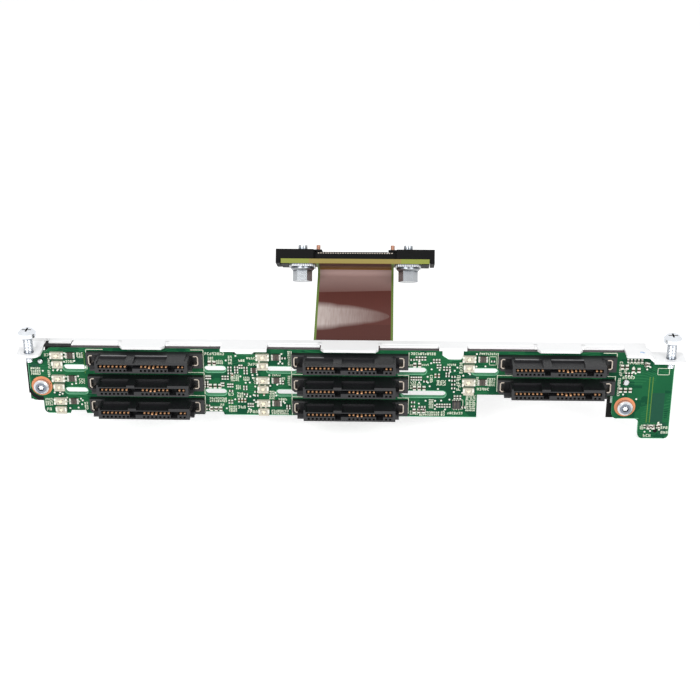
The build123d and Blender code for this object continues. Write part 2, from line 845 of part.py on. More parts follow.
def build():
    os.makedirs("parts", exist_ok=True)
    save("main_board", main_board())
    save("insulator_film", insulator())
    save("mounting_bracket", bracket())
    for number, (x, z) in enumerate(connector_places(), 1):
        save(f"drive_connector_{number}", housing(x, z))
        save(f"drive_contacts_{number}", contacts(x, z))
        save(f"hold_down_clips_{number}", clips(x, z))
    save("ear_screw_left", ear_screw(-1))
    save("ear_screw_right", ear_screw(1))
    save("ground_pads", [ground_pad(x, z) for x, z in board_screw_places])
    save("board_screws", [board_screw(x, z) for x, z in board_screw_places])
    save("locating_pegs", [peg(*place) for place in peg_places])
    save("status_leds", leds(0.0, led_body))
    save("activity_leds", leds(activity_drop, activity_body))
    save("resistor_arrays", resistor_arrays())
    save("driver_chip", driver_chip())
    save("chip_capacitors", passives())
    save("flex_cable", flex())
    save("head_board", head_board())
    save("head_carrier", head_carrier())
    save("head_socket", head_socket())
    save("head_contacts", head_contacts())
    save("head_screws", [head_screw(-1), head_screw(1)])
    save("head_washers", [head_washer(-1), head_washer(1)])
    save("head_guide_pins", [guide_pin(-1), guide_pin(1)])


build()
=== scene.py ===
import math
import random

import bmesh
import bpy
from mathutils import Matrix, Vector


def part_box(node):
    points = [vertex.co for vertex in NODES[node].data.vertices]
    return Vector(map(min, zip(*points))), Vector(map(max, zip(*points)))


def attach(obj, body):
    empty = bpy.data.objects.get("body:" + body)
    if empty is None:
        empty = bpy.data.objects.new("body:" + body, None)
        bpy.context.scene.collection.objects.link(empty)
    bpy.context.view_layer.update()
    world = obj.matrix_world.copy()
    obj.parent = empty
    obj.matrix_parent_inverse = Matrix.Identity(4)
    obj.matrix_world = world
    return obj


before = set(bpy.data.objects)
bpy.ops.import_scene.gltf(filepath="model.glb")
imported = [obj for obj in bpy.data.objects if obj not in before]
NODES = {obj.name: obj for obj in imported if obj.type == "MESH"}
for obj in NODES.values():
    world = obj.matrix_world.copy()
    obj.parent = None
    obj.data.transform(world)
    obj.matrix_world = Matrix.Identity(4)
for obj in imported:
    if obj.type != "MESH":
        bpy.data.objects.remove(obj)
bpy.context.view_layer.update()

MM = 0.001


def low(node):
    """A node's lowest corner in millimetres."""
    return [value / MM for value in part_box(node)[0]]


def high(node):
    """A node's highest corner in millimetres."""
    return [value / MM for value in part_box(node)[1]]


# Read from the frame, in millimetres
BOARD_LEFT = low("main_board")[0]
BOARD_FRONT = low("main_board")[1]
BOARD_BACK = high("main_board")[1]
BOARD_TOP = high("main_board")[2]
FLANGE_TOP = high("mounting_bracket")[2]

# Places of the part that the frame doesn't name, in millimetres and degrees
HEAD_ORIGIN = (1.3, 34.1, 17.65)
HEAD_TILT = 29.5
SCREW_AXES = ((-96.9, -12.15), (86.8, -17.5))
SCREW_FACE = 0.85
SCREW_RADIUS = 2.6
RECESS_DEPTH = 0.3
LOBE_RADIUS = 0.72
LOBE_DEPTH = 0.14
EAR_SCREW_HEAD = 2.4
TOOLING_HOLE = (96.95, -25.85)
TOOLING_SHADE_RADIUS = 0.72
FLEX_MARGIN = 0.75
HEAD_MIDDLE_HALF = 15.0

# The flexible circuit's colours, with its painted highlight, reflection and shade bands: where they lie,
# going back (Y) and up (Z)
HIGHLIGHT_BAND_START = 34.5
FOLD_SHADE_START = 43.3
BACK_START = 43.9
UPPER_REFLECTION_START = 12.0
HEAD_SHADE_START = 14.8
SHEEN_AND_WEAR_MIDDLE = 24.0
LOWER_SHADE_END = 19.5

# Vent slots: the height of one, then each row's level and its slots' middles and lengths
SLOT_HEIGHT = 2.2
SLOT_ROWS = (
    (-5.77, ((-86.0, 7.2), (-41.8, 6.8), (-20.9, 9.6), (19.6, 9.6), (42.6, 8.1))),
    (-13.77, ((-86.0, 7.2), (-41.8, 6.8), (-18.9, 7.6), (23.6, 14.0))),
)

# Camera that took the picture, found from the contacts' places
CAMERA_PLACE = (13.86, -412.44, 194.73)
CAMERA_PITCH = 0.43596
CAMERA_YAW = -0.03205
CAMERA_ROLL = -0.00425
FOCAL_PIXELS = 1475.57
PICTURE_PIXELS = 700
SENSOR = 36.0

# Floor below the board in millimetres, its glow, the surroundings' strength on rays that aren't seen
FLOOR_GAP = 0.1
FLOOR_GLOW = 0.41
FLOOR_HALF_SIZE = 4.0
WORLD_STRENGTH = 0.56

# Square lamps: name, place and side in metres, power in watts
LAMPS = (
    ("key_lamp", (-0.42, -0.72, 0.44), 0.5, 5.4),
    ("fill_lamp", (0.55, -0.60, 0.36), 0.5, 3.8),
)


def place_camera():
    """A camera that looks along the yaw and pitch, turned by the roll."""
    forward = Vector((
        math.sin(CAMERA_YAW) * math.cos(CAMERA_PITCH),
        math.cos(CAMERA_YAW) * math.cos(CAMERA_PITCH),
        -math.sin(CAMERA_PITCH),
    ))
    level = Vector((math.cos(CAMERA_YAW), -math.sin(CAMERA_YAW), 0.0))
    upright = level.cross(forward)
    right = math.cos(CAMERA_ROLL) * level + math.sin(CAMERA_ROLL) * upright
    top = -math.sin(CAMERA_ROLL) * level + math.cos(CAMERA_ROLL) * upright
    turn = Matrix((right, top, -forward)).transposed().to_4x4()
    data = bpy.data.cameras.new("camera")
    data.sensor_width = SENSOR
    data.lens = FOCAL_PIXELS / PICTURE_PIXELS * SENSOR
    data.clip_start = 0.01
    camera = bpy.data.objects.new("camera", data)
    camera.matrix_world = Matrix.Translation(Vector(CAMERA_PLACE) * MM) @ turn
    bpy.context.scene.collection.objects.link(camera)
    bpy.context.scene.camera = camera


def link(tree, source, target):
    tree.links.new(source, target)


def node(tree, kind, inputs=None, **settings):
    """A shader node with its settings and the values or links of its inputs."""
    made = tree.nodes.new(kind)
    for name, value in settings.items():
        setattr(made, name, value)
    for name, value in (inputs or {}).items():
        if hasattr(value, "is_output") or hasattr(value, "links"):
            link(tree, value, made.inputs[name])
        else:
            made.inputs[name].default_value = value
    return made


def math_node(tree, operation, first, second=0.0, third=0.0):
    """One arithmetic step, on numbers or outputs."""
    made = node(tree, "ShaderNodeMath", {0: first, 1: second, 2: third}, operation=operation)
    return made.outputs[0]


def mix(tree, share, first, second):
    """A colour between two others."""
    made = node(tree, "ShaderNodeMix", data_type="RGBA")
    for index, value in ((0, share), (6, first), (7, second)):
        if hasattr(value, "links"):
            link(tree, value, made.inputs[index])
        elif index:
            made.inputs[index].default_value = (*value, 1.0)
        else:
            made.inputs[index].default_value = value
    return made.outputs[2]


def ramp(tree, value, stops):
    """A grey or colour ramp over a value."""
    made = node(tree, "ShaderNodeValToRGB", {"Fac": value})
    elements = made.color_ramp.elements
    while len(elements) < len(stops):
        elements.new(0.5)
    for element, (position, colour) in zip(elements, stops):
        element.position = position
        element.color = (*colour, 1.0) if isinstance(colour, tuple) else (colour, colour, colour, 1.0)
    return made.outputs["Color"]


def material(name, colour, roughness, metallic=0.0, coat=0.0, specular=0.5):
    """A new principled material, its node tree and its shader."""
    made = bpy.data.materials.new(name)
    made.use_nodes = True
    tree = made.node_tree
    shader = tree.nodes["Principled BSDF"]
    shader.inputs["Base Color"].default_value = (*colour, 1.0)
    shader.inputs["Roughness"].default_value = roughness
    shader.inputs["Metallic"].default_value = metallic
    shader.inputs["Coat Weight"].default_value = coat
    shader.inputs["Coat Roughness"].default_value = 0.08
    shader.inputs["Specular IOR Level"].default_value = specular
    return made, tree, shader


def place(tree):
    """Object coordinates in millimetres."""
    source = node(tree, "ShaderNodeTexCoord").outputs["Object"]
    scaled = node(tree, "ShaderNodeVectorMath", {0: source}, operation="SCALE")
    scaled.inputs["Scale"].default_value = 1 / MM
    return scaled.outputs[0]


def axes(tree, vector):
    """The X, Y and Z of a vector."""
    made = node(tree, "ShaderNodeSeparateXYZ", {0: vector})
    return [made.outputs[axis] for axis in "XYZ"]


def surface_normal(tree):
    """The X, Y and Z of the direction that the surface faces."""
    return axes(tree, node(tree, "ShaderNodeNewGeometry").outputs["Normal"])


def span(tree, value, first, last, start=0.0, end=1.0):
    """A value's way from first to last, carried over to the way from start to end."""
    inputs = {"Value": value, "From Min": first, "From Max": last, "To Min": start, "To Max": end}
    return node(tree, "ShaderNodeMapRange", inputs).outputs[0]


def grain(tree, scale, detail=2.0):
    """A soft noise value over the surface, in features per millimetre."""
    made = node(tree, "ShaderNodeTexNoise", {"Vector": place(tree), "Scale": scale, "Detail": detail})
    return made.outputs["Fac"]


def bump(tree, shader, height, strength, distance=0.05):
    made = node(tree, "ShaderNodeBump", {"Height": height, "Strength": strength, "Distance": distance * MM})
    link(tree, made.outputs["Normal"], shader.inputs["Normal"])


def speckled(name, colour, other, scale, roughness, **more):
    """A finish whose colour and gloss wander a little over a noise."""
    made, tree, shader = material(name, colour, roughness, **more)
    value = grain(tree, scale)
    link(tree, mix(tree, value, colour, other), shader.inputs["Base Color"])
    gloss = span(tree, value, 0.0, 1.0, roughness - 0.1, roughness + 0.1)
    link(tree, gloss, shader.inputs["Roughness"])
    bump(tree, shader, grain(tree, scale * 3, 3.0), 0.15)
    return made


def solder_mask():
    """Green mask over copper: pours, fine tracks and cut laminate at the edges, with the board's top edge
    painted dark as shade from the flange above.
    """
    made, tree, shader = material("solder_mask", (0.01, 0.11, 0.045), 0.42, specular=0.06)
    where = place(tree)
    z = axes(tree, where)[2]
    normal = surface_normal(tree)
    facing = math_node(tree, "GREATER_THAN", math_node(tree, "ABSOLUTE", normal[1]), 0.6)
    pours = node(tree, "ShaderNodeTexVoronoi", {"Vector": where, "Scale": 0.22}, distance="CHEBYCHEV")
    pour = math_node(tree, "GREATER_THAN", pours.outputs["Color"], 0.42)
    green = mix(tree, pour, (0.006, 0.066, 0.029), (0.013, 0.112, 0.042))
    wander = math_node(tree, "MULTIPLY", grain(tree, 0.12, 3.0), 0.6)
    green = mix(tree, wander, green, (0.004, 0.052, 0.024))
    drift = math_node(tree, "MULTIPLY", grain(tree, 0.1, 0.0), 6.0)
    lines = math_node(tree, "PINGPONG", math_node(tree, "ADD", z, drift), 0.35)
    shown = math_node(tree, "GREATER_THAN", grain(tree, 0.16, 1.0), 0.53)
    track = math_node(tree, "MULTIPLY", math_node(tree, "LESS_THAN", lines, 0.085), shown)
    green = mix(tree, math_node(tree, "MULTIPLY", track, 0.5), green, (0.035, 0.19, 0.07))
    checks = node(tree, "ShaderNodeTexChecker", {"Vector": where, "Scale": 1.6})
    weave = math_node(tree, "MULTIPLY", checks.outputs["Fac"], 0.3)
    edge = mix(tree, weave, (0.08, 0.32, 0.17), (0.16, 0.40, 0.22))
    # Painted shade: the board's top edge takes a dark grey for the shade of the flange above it.
    upward = math_node(tree, "GREATER_THAN", normal[2], 0.7)
    top = math_node(tree, "MULTIPLY", upward, math_node(tree, "GREATER_THAN", z, BOARD_TOP - 0.4))
    edge = mix(tree, top, edge, (0.075, 0.062, 0.066))
    link(tree, mix(tree, facing, edge, green), shader.inputs["Base Color"])
    pour_height = math_node(tree, "MULTIPLY", pour, 0.4)
    track_height = math_node(tree, "MULTIPLY", track, 0.6)
    height = math_node(tree, "ADD", pour_height, track_height)
    bump(tree, shader, math_node(tree, "MULTIPLY", height, facing), 0.4, 0.03)
    return made


def zinc(name, tint=(0.86, 0.87, 0.88), roughness=0.34, metallic=1.0, painted_shade_reach=0.0):
    """Bright zinc plate with rolling marks along the sheet, and painted shade darkening its corners where a
    reach is given.
    """
    made, tree, shader = material(name, tint, roughness, metallic=metallic)
    where = place(tree)
    streaks = node(tree, "ShaderNodeVectorMath", {0: where, 1: (0.08, 3.0, 3.0)}, operation="MULTIPLY")
    rolled = node(tree, "ShaderNodeTexNoise", {"Vector": streaks.outputs[0], "Scale": 2.0, "Detail": 3.0})
    marks = math_node(tree, "MULTIPLY", rolled.outputs["Fac"], 0.5)
    cloud = math_node(tree, "MULTIPLY", grain(tree, 0.25, 3.0), 0.5)
    tone = math_node(tree, "ADD", marks, cloud)
    dark = tuple(value * 0.93 for value in tint)
    colour = mix(tree, tone, dark, tint)
    # Painted shade: where a reach is given, the colour darkens where surfaces close in.
    if painted_shade_reach:
        colour = shaded(tree, colour, painted_shade_reach)
    link(tree, colour, shader.inputs["Base Color"])
    gloss = span(tree, tone, 0.0, 1.0, roughness - 0.08, roughness + 0.1)
    link(tree, gloss, shader.inputs["Roughness"])
    bump(tree, shader, rolled.outputs["Fac"], 0.12, 0.02)
    return made


def shaded(tree, colour, reach):
    """A colour with painted shade: it darkens where surfaces within that reach, in millimetres, close in."""
    open_share = node(tree, "ShaderNodeAmbientOcclusion", {"Distance": reach * MM}, samples=8)
    stops = ((0.25, (0.03, 0.035, 0.045)), (0.75, (0.45, 0.47, 0.50)), (0.97, (1.0, 1.0, 1.0)))
    shade = ramp(tree, open_share.outputs["AO"], stops)
    made = node(tree, "ShaderNodeMix", data_type="RGBA", blend_type="MULTIPLY")
    made.inputs[0].default_value = 1.0
    link(tree, colour, made.inputs[6])
    link(tree, shade, made.inputs[7])
    return made.outputs[2]


def threaded():
    """Screw steel with a thread's ridges round its upright shank, painted shade in the thread's grooves, and
    painted shade where surfaces close in.
    """
    made, tree, shader = material("ear_screw_zinc", (0.86, 0.88, 0.91), 0.24, metallic=1.0)
    z = axes(tree, place(tree))[2]
    ridge = math_node(tree, "PINGPONG", z, 0.25)
    shank = math_node(tree, "LESS_THAN", z, high("ear_screw_left")[2] - EAR_SCREW_HEAD)
    # Painted shade: the thread's grooves are coloured dark.
    groove_shade = math_node(tree, "MULTIPLY", math_node(tree, "LESS_THAN", ridge, 0.09), shank)
    steel = mix(tree, groove_shade, (0.80, 0.83, 0.87), (0.20, 0.23, 0.27))
    link(tree, shaded(tree, steel, 1.6), shader.inputs["Base Color"])
    bump(tree, shader, math_node(tree, "MULTIPLY", ridge, shank), 0.9, 0.6)
    return made


def polyimide():
    """Brown film over copper tracks, with bare green margins, painted highlight, reflection and shade bands,
    and a pale patch of painted reflection with fine wear marks in it.
    """
    made, tree, shader = material("flex_film", (0.11, 0.045, 0.035), 0.42, coat=0.04, specular=0.12)
    where = place(tree)
    x, y, z = axes(tree, where)
    left = low("flex_cable")[0]
    right = high("flex_cable")[0]
    off = math_node(tree, "ABSOLUTE", math_node(tree, "SUBTRACT", x, (left + right) / 2))
    margin = math_node(tree, "GREATER_THAN", off, (right - left) / 2 - FLEX_MARGIN)
    tracks = math_node(tree, "LESS_THAN", math_node(tree, "PINGPONG", x, 0.25), 0.13)
    copper = math_node(tree, "MULTIPLY", tracks, 0.3)
    brown = mix(tree, copper, (0.098, 0.031, 0.025), (0.120, 0.042, 0.033))
    cloud = math_node(tree, "MULTIPLY", grain(tree, 0.2), 0.4)
    brown = mix(tree, cloud, brown, (0.085, 0.033, 0.028))
    # Painted highlight: a lighter band across the film towards the head.
    highlight_band_start = math_node(tree, "MULTIPLY_ADD", x, 0.04, HIGHLIGHT_BAND_START)
    highlight_band = math_node(tree, "GREATER_THAN", y, highlight_band_start)
    highlight_band = math_node(tree, "MULTIPLY", highlight_band, span(tree, y, 34.0, 43.0, 0.2, 1.0))
    brown = mix(tree, highlight_band, brown, (0.36, 0.245, 0.225))
    # Painted shade: the film goes dark along its fold.
    fold_shade = math_node(tree, "GREATER_THAN", y, FOLD_SHADE_START)
    brown = mix(tree, fold_shade, brown, (0.035, 0.014, 0.010))
    # Painted reflection: the part behind the fold and the upper part take a yellowish brown.
    behind = math_node(tree, "GREATER_THAN", y, BACK_START)
    under = math_node(tree, "MAXIMUM", behind, math_node(tree, "GREATER_THAN", z, UPPER_REFLECTION_START))
    brown = mix(tree, under, brown, (0.19, 0.098, 0.032))
    head_shade = math_node(tree, "GREATER_THAN", z, HEAD_SHADE_START)
    brown = mix(tree, head_shade, brown, (0.060, 0.020, 0.010))
    # A pale patch of painted reflection with fine wear marks in it, wider and stronger towards the left.
    room = math_node(tree, "MAXIMUM", math_node(tree, "MULTIPLY_ADD", x, -1 / 23, 12.6 / 23), 0.0)
    reach = math_node(tree, "MULTIPLY_ADD", math_node(tree, "SQRT", room), 6.1, 0.02)
    wave = math_node(tree, "MULTIPLY", grain(tree, 0.15, 1.0), 1.2)
    level = math_node(tree, "ADD", y, wave)
    away = math_node(tree, "ABSOLUTE", math_node(tree, "SUBTRACT", level, SHEEN_AND_WEAR_MIDDLE))
    sheen_and_wear_patch = span(tree, math_node(tree, "DIVIDE", away, reach), 1.08, 0.62)
    shown = math_node(tree, "MULTIPLY", sheen_and_wear_patch, span(tree, x, -11.0, 11.5, 1.0, 0.12))
    fine = node(tree, "ShaderNodeVectorMath", {0: where, 1: (2.2, 0.22, 0.22)}, operation="MULTIPLY")
    marks = node(tree, "ShaderNodeTexNoise", {"Vector": fine.outputs[0], "Scale": 1.0, "Detail": 3.0})
    # Painted shade: the lower part of the film is darker.
    lower = math_node(tree, "LESS_THAN", y, LOWER_SHADE_END)
    brown = mix(tree, math_node(tree, "MULTIPLY", lower, 0.3), brown, (0.045, 0.015, 0.012))
    pale = mix(tree, marks.outputs["Fac"], (0.34, 0.26, 0.235), (0.60, 0.53, 0.50))
    brown = mix(tree, shown, brown, pale)
    link(tree, mix(tree, margin, brown, (0.125, 0.19, 0.045)), shader.inputs["Base Color"])
    bump(tree, shader, tracks, 0.08, 0.02)
    return made


def laminate():
    """Bare glass laminate edge under a green mask."""
    made, tree, shader = material("head_laminate", (0.33, 0.33, 0.11), 0.5, specular=0.1)
    x = axes(tree, place(tree))[0]
    off = math_node(tree, "ABSOLUTE", math_node(tree, "SUBTRACT", x, HEAD_ORIGIN[0]))
    centre = math_node(tree, "LESS_THAN", off, HEAD_MIDDLE_HALF)
    edge = mix(tree, centre, (0.235, 0.27, 0.055), (0.27, 0.21, 0.065))
    plies = math_node(tree, "MULTIPLY", grain(tree, 1.2), 0.4)
    link(tree, mix(tree, plies, edge, (0.20, 0.19, 0.05)), shader.inputs["Base Color"])
    return made


def moulding():
    """Black moulded plastic whose upper faces get less specular than its fronts: painted shade on the tops.
    """
    black = (0.011, 0.011, 0.0125)
    made = speckled("connector_black", black, (0.016, 0.016, 0.018), 1.1, 0.38, specular=0.42)
    tree = made.node_tree
    # Painted shade: the specular level falls as the surface turns upward.
    level = span(tree, surface_normal(tree)[2], 0.2, 0.8, 0.47, 0.24)
    link(tree, level, tree.nodes["Principled BSDF"].inputs["Specular IOR Level"])
    return made


def ringed():
    """Screw steel whose light rim and blue grey facets inside it are painted reflection, with painted shade
    in its corners.
    """
    made, tree, shader = material("screw_zinc", (0.7, 0.72, 0.76), 0.26, metallic=0.8)
    x, _, z = axes(tree, place(tree))
    gaps = []
    for screw_x, screw_z in SCREW_AXES:
        across = math_node(tree, "POWER", math_node(tree, "SUBTRACT", x, screw_x), 2.0)
        upward = math_node(tree, "POWER", math_node(tree, "SUBTRACT", z, screw_z), 2.0)
        gaps.append(math_node(tree, "SQRT", math_node(tree, "ADD", across, upward)))
    away = math_node(tree, "MINIMUM", *gaps)
    away = math_node(tree, "ADD", away, math_node(tree, "MULTIPLY_ADD", grain(tree, 0.9), 0.5, -0.25))
    scaled = math_node(tree, "DIVIDE", away, SCREW_RADIUS)
    # Painted reflection: light and dark rings by the distance from each screw's axis.
    stops = (
        (0.30, (0.50, 0.53, 0.58)), (0.40, (0.13, 0.15, 0.19)), (0.52, (0.24, 0.27, 0.32)),
        (0.62, (0.15, 0.17, 0.21)), (0.72, (0.55, 0.57, 0.60)), (0.86, (0.72, 0.73, 0.75)),
    )
    reflection_rings = ramp(tree, scaled, stops)
    link(tree, shaded(tree, reflection_rings, 0.8), shader.inputs["Base Color"])
    bump(tree, shader, grain(tree, 1.2), 0.5, 0.2)
    return made


def wavy():
    """Toothed washer: bright zinc broken by dark wavy lines, with painted shade where surfaces close in."""
    made, tree, shader = material("washer_zinc", (0.8, 0.81, 0.83), 0.3, metallic=0.5)
    inputs = {"Vector": place(tree), "Scale": 0.55, "Distortion": 5.0, "Detail": 2.0}
    lines = node(tree, "ShaderNodeTexWave", inputs)
    dark = math_node(tree, "GREATER_THAN", lines.outputs["Fac"], 0.66)
    tone = mix(tree, math_node(tree, "MULTIPLY", dark, 0.85), (0.80, 0.81, 0.83), (0.12, 0.13, 0.15))
    # Painted shade where surfaces close in.
    link(tree, shaded(tree, tone, 0.8), shader.inputs["Base Color"])
    return made


def ring_copper():
    """Copper pad, a little oxidised, with dark specks."""
    made, tree, shader = material("ring_copper", (0.62, 0.25, 0.12), 0.45, metallic=0.2, specular=0.2)
    tone = mix(tree, grain(tree, 0.8), (0.72, 0.285, 0.145), (0.58, 0.225, 0.105))
    specks = node(tree, "ShaderNodeTexVoronoi", {"Vector": place(tree), "Scale": 0.55})
    speck = math_node(tree, "LESS_THAN", specks.outputs["Distance"], 0.13)
    link(tree, mix(tree, speck, tone, (0.10, 0.045, 0.025)), shader.inputs["Base Color"])
    bump(tree, shader, grain(tree, 2.4, 3.0), 0.2)
    return made


def finishes():
    """Every finish by name."""
    return {
        "mask": solder_mask(),
        "film": speckled("film_black", (0.006,) * 3, (0.011,) * 3, 1.5, 0.45, specular=0.08),
        "zinc": zinc("zinc_plate", (0.98, 0.985, 0.99), 0.45, 0.25),
        "screw": ringed(),
        "hex": zinc("hex_zinc", (0.38, 0.40, 0.42), 0.22, 0.9, 1.8),
        "washer": wavy(),
        "threaded": threaded(),
        "moulding": moulding(),
        "carrier": speckled("carrier_black", (0.004,) * 3, (0.007,) * 3, 1.1, 0.5, specular=0.06),
        "gold": speckled("contact_gold", (0.74, 0.40, 0.20), (0.62, 0.32, 0.15), 2.5, 0.4, metallic=0.25),
        "tin": speckled("clip_tin", (0.66, 0.58, 0.49), (0.36, 0.31, 0.27), 2.0, 0.35, metallic=1.0),
        "copper": ring_copper(),
        "peg": zinc("peg_steel", (0.62, 0.63, 0.65), 0.25, 1.0, 0.8),
        "led": speckled("led_ceramic", (0.58, 0.55, 0.46), (0.42, 0.39, 0.31), 1.6, 0.4, specular=0.3),
        "lens": speckled("led_lens", (0.96, 0.93, 0.80), (0.74, 0.58, 0.30), 1.9, 0.15, coat=0.5),
        "print": speckled("screen_print", (0.78, 0.80, 0.66), (0.64, 0.70, 0.54), 1.5, 0.6, specular=0.2),
        "solder": speckled("solder_tin", (0.86, 0.85, 0.78), (0.62, 0.62, 0.55), 1.8, 0.3, metallic=0.6),
        "part": speckled("part_dark", (0.022, 0.016, 0.013), (0.06, 0.042, 0.032), 1.2, 0.4, specular=0.3),
        "brown": speckled("part_brown", (0.22, 0.12, 0.055), (0.12, 0.07, 0.04), 1.2, 0.45),
        "pour": speckled("mask_dark", (0.004, 0.052, 0.028), (0.006, 0.065, 0.034), 0.8, 0.42, specular=0.2),
        "track": speckled("mask_track", (0.10, 0.20, 0.03), (0.075, 0.17, 0.03), 0.8, 0.42, specular=0.2),
        "ink": speckled("ink_blue", (0.35, 0.55, 0.85), (0.55, 0.70, 0.92), 1.5, 0.5),
        "rim": speckled("laminate_rim", (0.11, 0.36, 0.20), (0.20, 0.46, 0.29), 1.4, 0.5, specular=0.2),
        "well": speckled("light_well", (0.03, 0.012, 0.004), (1.0, 0.96, 0.80), 1.7, 0.3, specular=0.3),
        # Painted highlight for the screws' recess bottoms.
        "bright": speckled("screw_painted_highlight", (0.92, 0.93, 0.95), (0.80, 0.82, 0.86), 1.5, 0.35, metallic=0.3),
        "ends": speckled("contact_ends", (0.62, 0.55, 0.48), (0.38, 0.33, 0.28), 1.5, 0.4, metallic=0.2),
        "bar": speckled("painted_highlight_bars", (0.16, 0.125, 0.10), (0.05, 0.04, 0.035), 1.6, 0.4, specular=0.3),
        # Painted highlight for the top connectors' window edges.
        "gloss": speckled("painted_highlight_plastic", (0.12, 0.12, 0.125), (0.26, 0.26, 0.265), 0.8, 0.35, specular=0.4),
        "spacer": speckled("spacer_white", (0.85, 0.85, 0.83), (0.75, 0.75, 0.73), 1.5, 0.5, specular=0.2),
        "chip": speckled("chip_black", (0.015, 0.016, 0.017), (0.03, 0.03, 0.03), 2.0, 0.5),
        "array": speckled("array_glaze", (0.010, 0.012, 0.011), (0.085, 0.070, 0.055), 1.3, 0.3),
        "capacitor": speckled(
            "capacitor_dark", (0.045, 0.030, 0.022), (0.10, 0.065, 0.045), 1.6, 0.4, specular=0.2,
        ),
        "flex": polyimide(),
        "laminate": laminate(),
        "brass": speckled("guide_brass", (0.34, 0.17, 0.11), (0.26, 0.12, 0.08), 1.5, 0.35, metallic=0.5),
    }


FINISH = finishes()
NODE_FINISH = {
    "main_board": "mask", "insulator_film": "film", "mounting_bracket": "zinc",
    "ear_screw_left": "threaded", "ear_screw_right": "threaded", "ground_pads": "copper",
    "board_screws": "screw", "locating_pegs": "peg", "status_leds": "led",
    "activity_leds": "led", "resistor_arrays": "array", "driver_chip": "chip",
    "chip_capacitors": "capacitor", "flex_cable": "flex", "head_board": "laminate",
    "head_carrier": "carrier", "head_socket": "carrier", "head_contacts": "tin",
    "head_screws": "hex", "head_washers": "washer", "head_guide_pins": "brass",
    "drive_connector": "moulding", "drive_contacts": "gold", "hold_down_clips": "tin",
}


def dress_nodes():
    """The CAD bodies take their finishes, and moulded ones get small rounded edges."""
    for name, solid in NODES.items():
        kind = name.rstrip("0123456789").rstrip("_") if name not in NODE_FINISH else name
        solid.data.materials.clear()
        solid.data.materials.append(FINISH[NODE_FINISH[kind]])
        if kind in ("drive_connector", "head_carrier", "head_socket"):
            soften(solid, 0.12)


def soften(solid, width):
    """Small rounded edges that catch the light."""
    weld = solid.modifiers.new("weld", "WELD")
    weld.merge_threshold = 0.002 * MM
    edge = solid.modifiers.new("edges", "BEVEL")
    edge.width = width * MM
    edge.segments = 2
    edge.limit_method = "ANGLE"
    edge.angle_limit = math.radians(40)
    edge.use_clamp_overlap = True


# The tables of print, small parts, dots and lines below hold places read in enlarged crops of
# the picture. A separate script carried most of them to millimetres with the camera above, to the
# nearest 0.1, and some were then moved by hand.

# Fields of small print on the board, in millimetres: left, bottom, right, top, rows
PRINT_ROWS = (
    (-85.1, -2.3, -83.0, -0.2, 2), (-95.3, -1.8, -93.4, -0.8, 1), (-100.0, -8.3, -96.9, -5.5, 3),
    (-85.0, -11.3, -83.0, -9.3, 2), (-96.3, -19.1, -94.0, -16.4, 3), (-96.1, -20.9, -94.1, -19.8, 1),
    (-83.9, -20.5, -82.6, -17.6, 3), (-88.7, -4.0, -85.7, -3.1, 1), (-44.9, -0.9, -38.2, 0.1, 1),
    (-43.9, -4.1, -41.8, -1.4, 3), (-41.3, -4.0, -39.0, -2.4, 2), (-37.6, -4.0, -36.2, -0.9, 3),
    (-34.4, -3.1, -32.2, -2.2, 1), (-31.8, -2.3, -28.9, -1.4, 1), (-31.4, -4.4, -28.3, -3.4, 1),
    (-37.0, -9.9, -34.4, -7.5, 3), (-33.0, -9.7, -30.8, -8.2, 2), (-35.4, -12.7, -33.7, -11.1, 2),
    (-37.9, -15.0, -35.7, -13.8, 1), (-35.1, -15.6, -33.2, -13.6, 2), (-43.9, -17.3, -38.5, -15.5, 2),
    (-43.4, -20.2, -40.3, -18.7, 2), (-37.9, -20.7, -35.2, -18.4, 3), (-35.0, -19.5, -32.1, -18.4, 1),
    (-32.1, -21.1, -28.8, -20.0, 1), (-23.9, -8.0, -20.9, -7.3, 1), (-21.6, -9.2, -19.6, -8.4, 1),
    (-22.1, -16.5, -19.2, -15.6, 1), (-24.4, -21.5, -18.6, -19.7, 2), (-40.6, -18.7, -38.9, -17.8, 1),
    (19.5, -0.2, 27.5, 0.7, 1), (19.2, -4.1, 21.4, -3.4, 1), (22.4, -3.9, 25.3, -3.2, 1),
    (30.9, -3.8, 33.9, -3.1, 1), (19.4, -12.1, 21.2, -9.2, 3), (21.5, -12.1, 23.3, -9.9, 2),
    (40.7, 0.0, 46.4, 0.8, 1), (40.3, -12.3, 44.2, -11.3, 1), (43.4, -10.7, 46.4, -7.8, 3),
    (31.2, -20.8, 35.9, -19.9, 1), (22.4, -21.4, 29.1, -19.7, 2), (19.4, -21.1, 22.0, -19.5, 2),
    (29.2, -21.4, 30.9, -19.4, 2), (86.7, -2.7, 91.6, -1.9, 1), (85.4, -7.8, 89.1, -6.8, 1),
    (98.6, -25.2, 100.9, -24.2, 1), (98.8, -26.9, 100.9, -25.9, 1), (93.3, -28.1, 95.6, -27.0, 1),
)

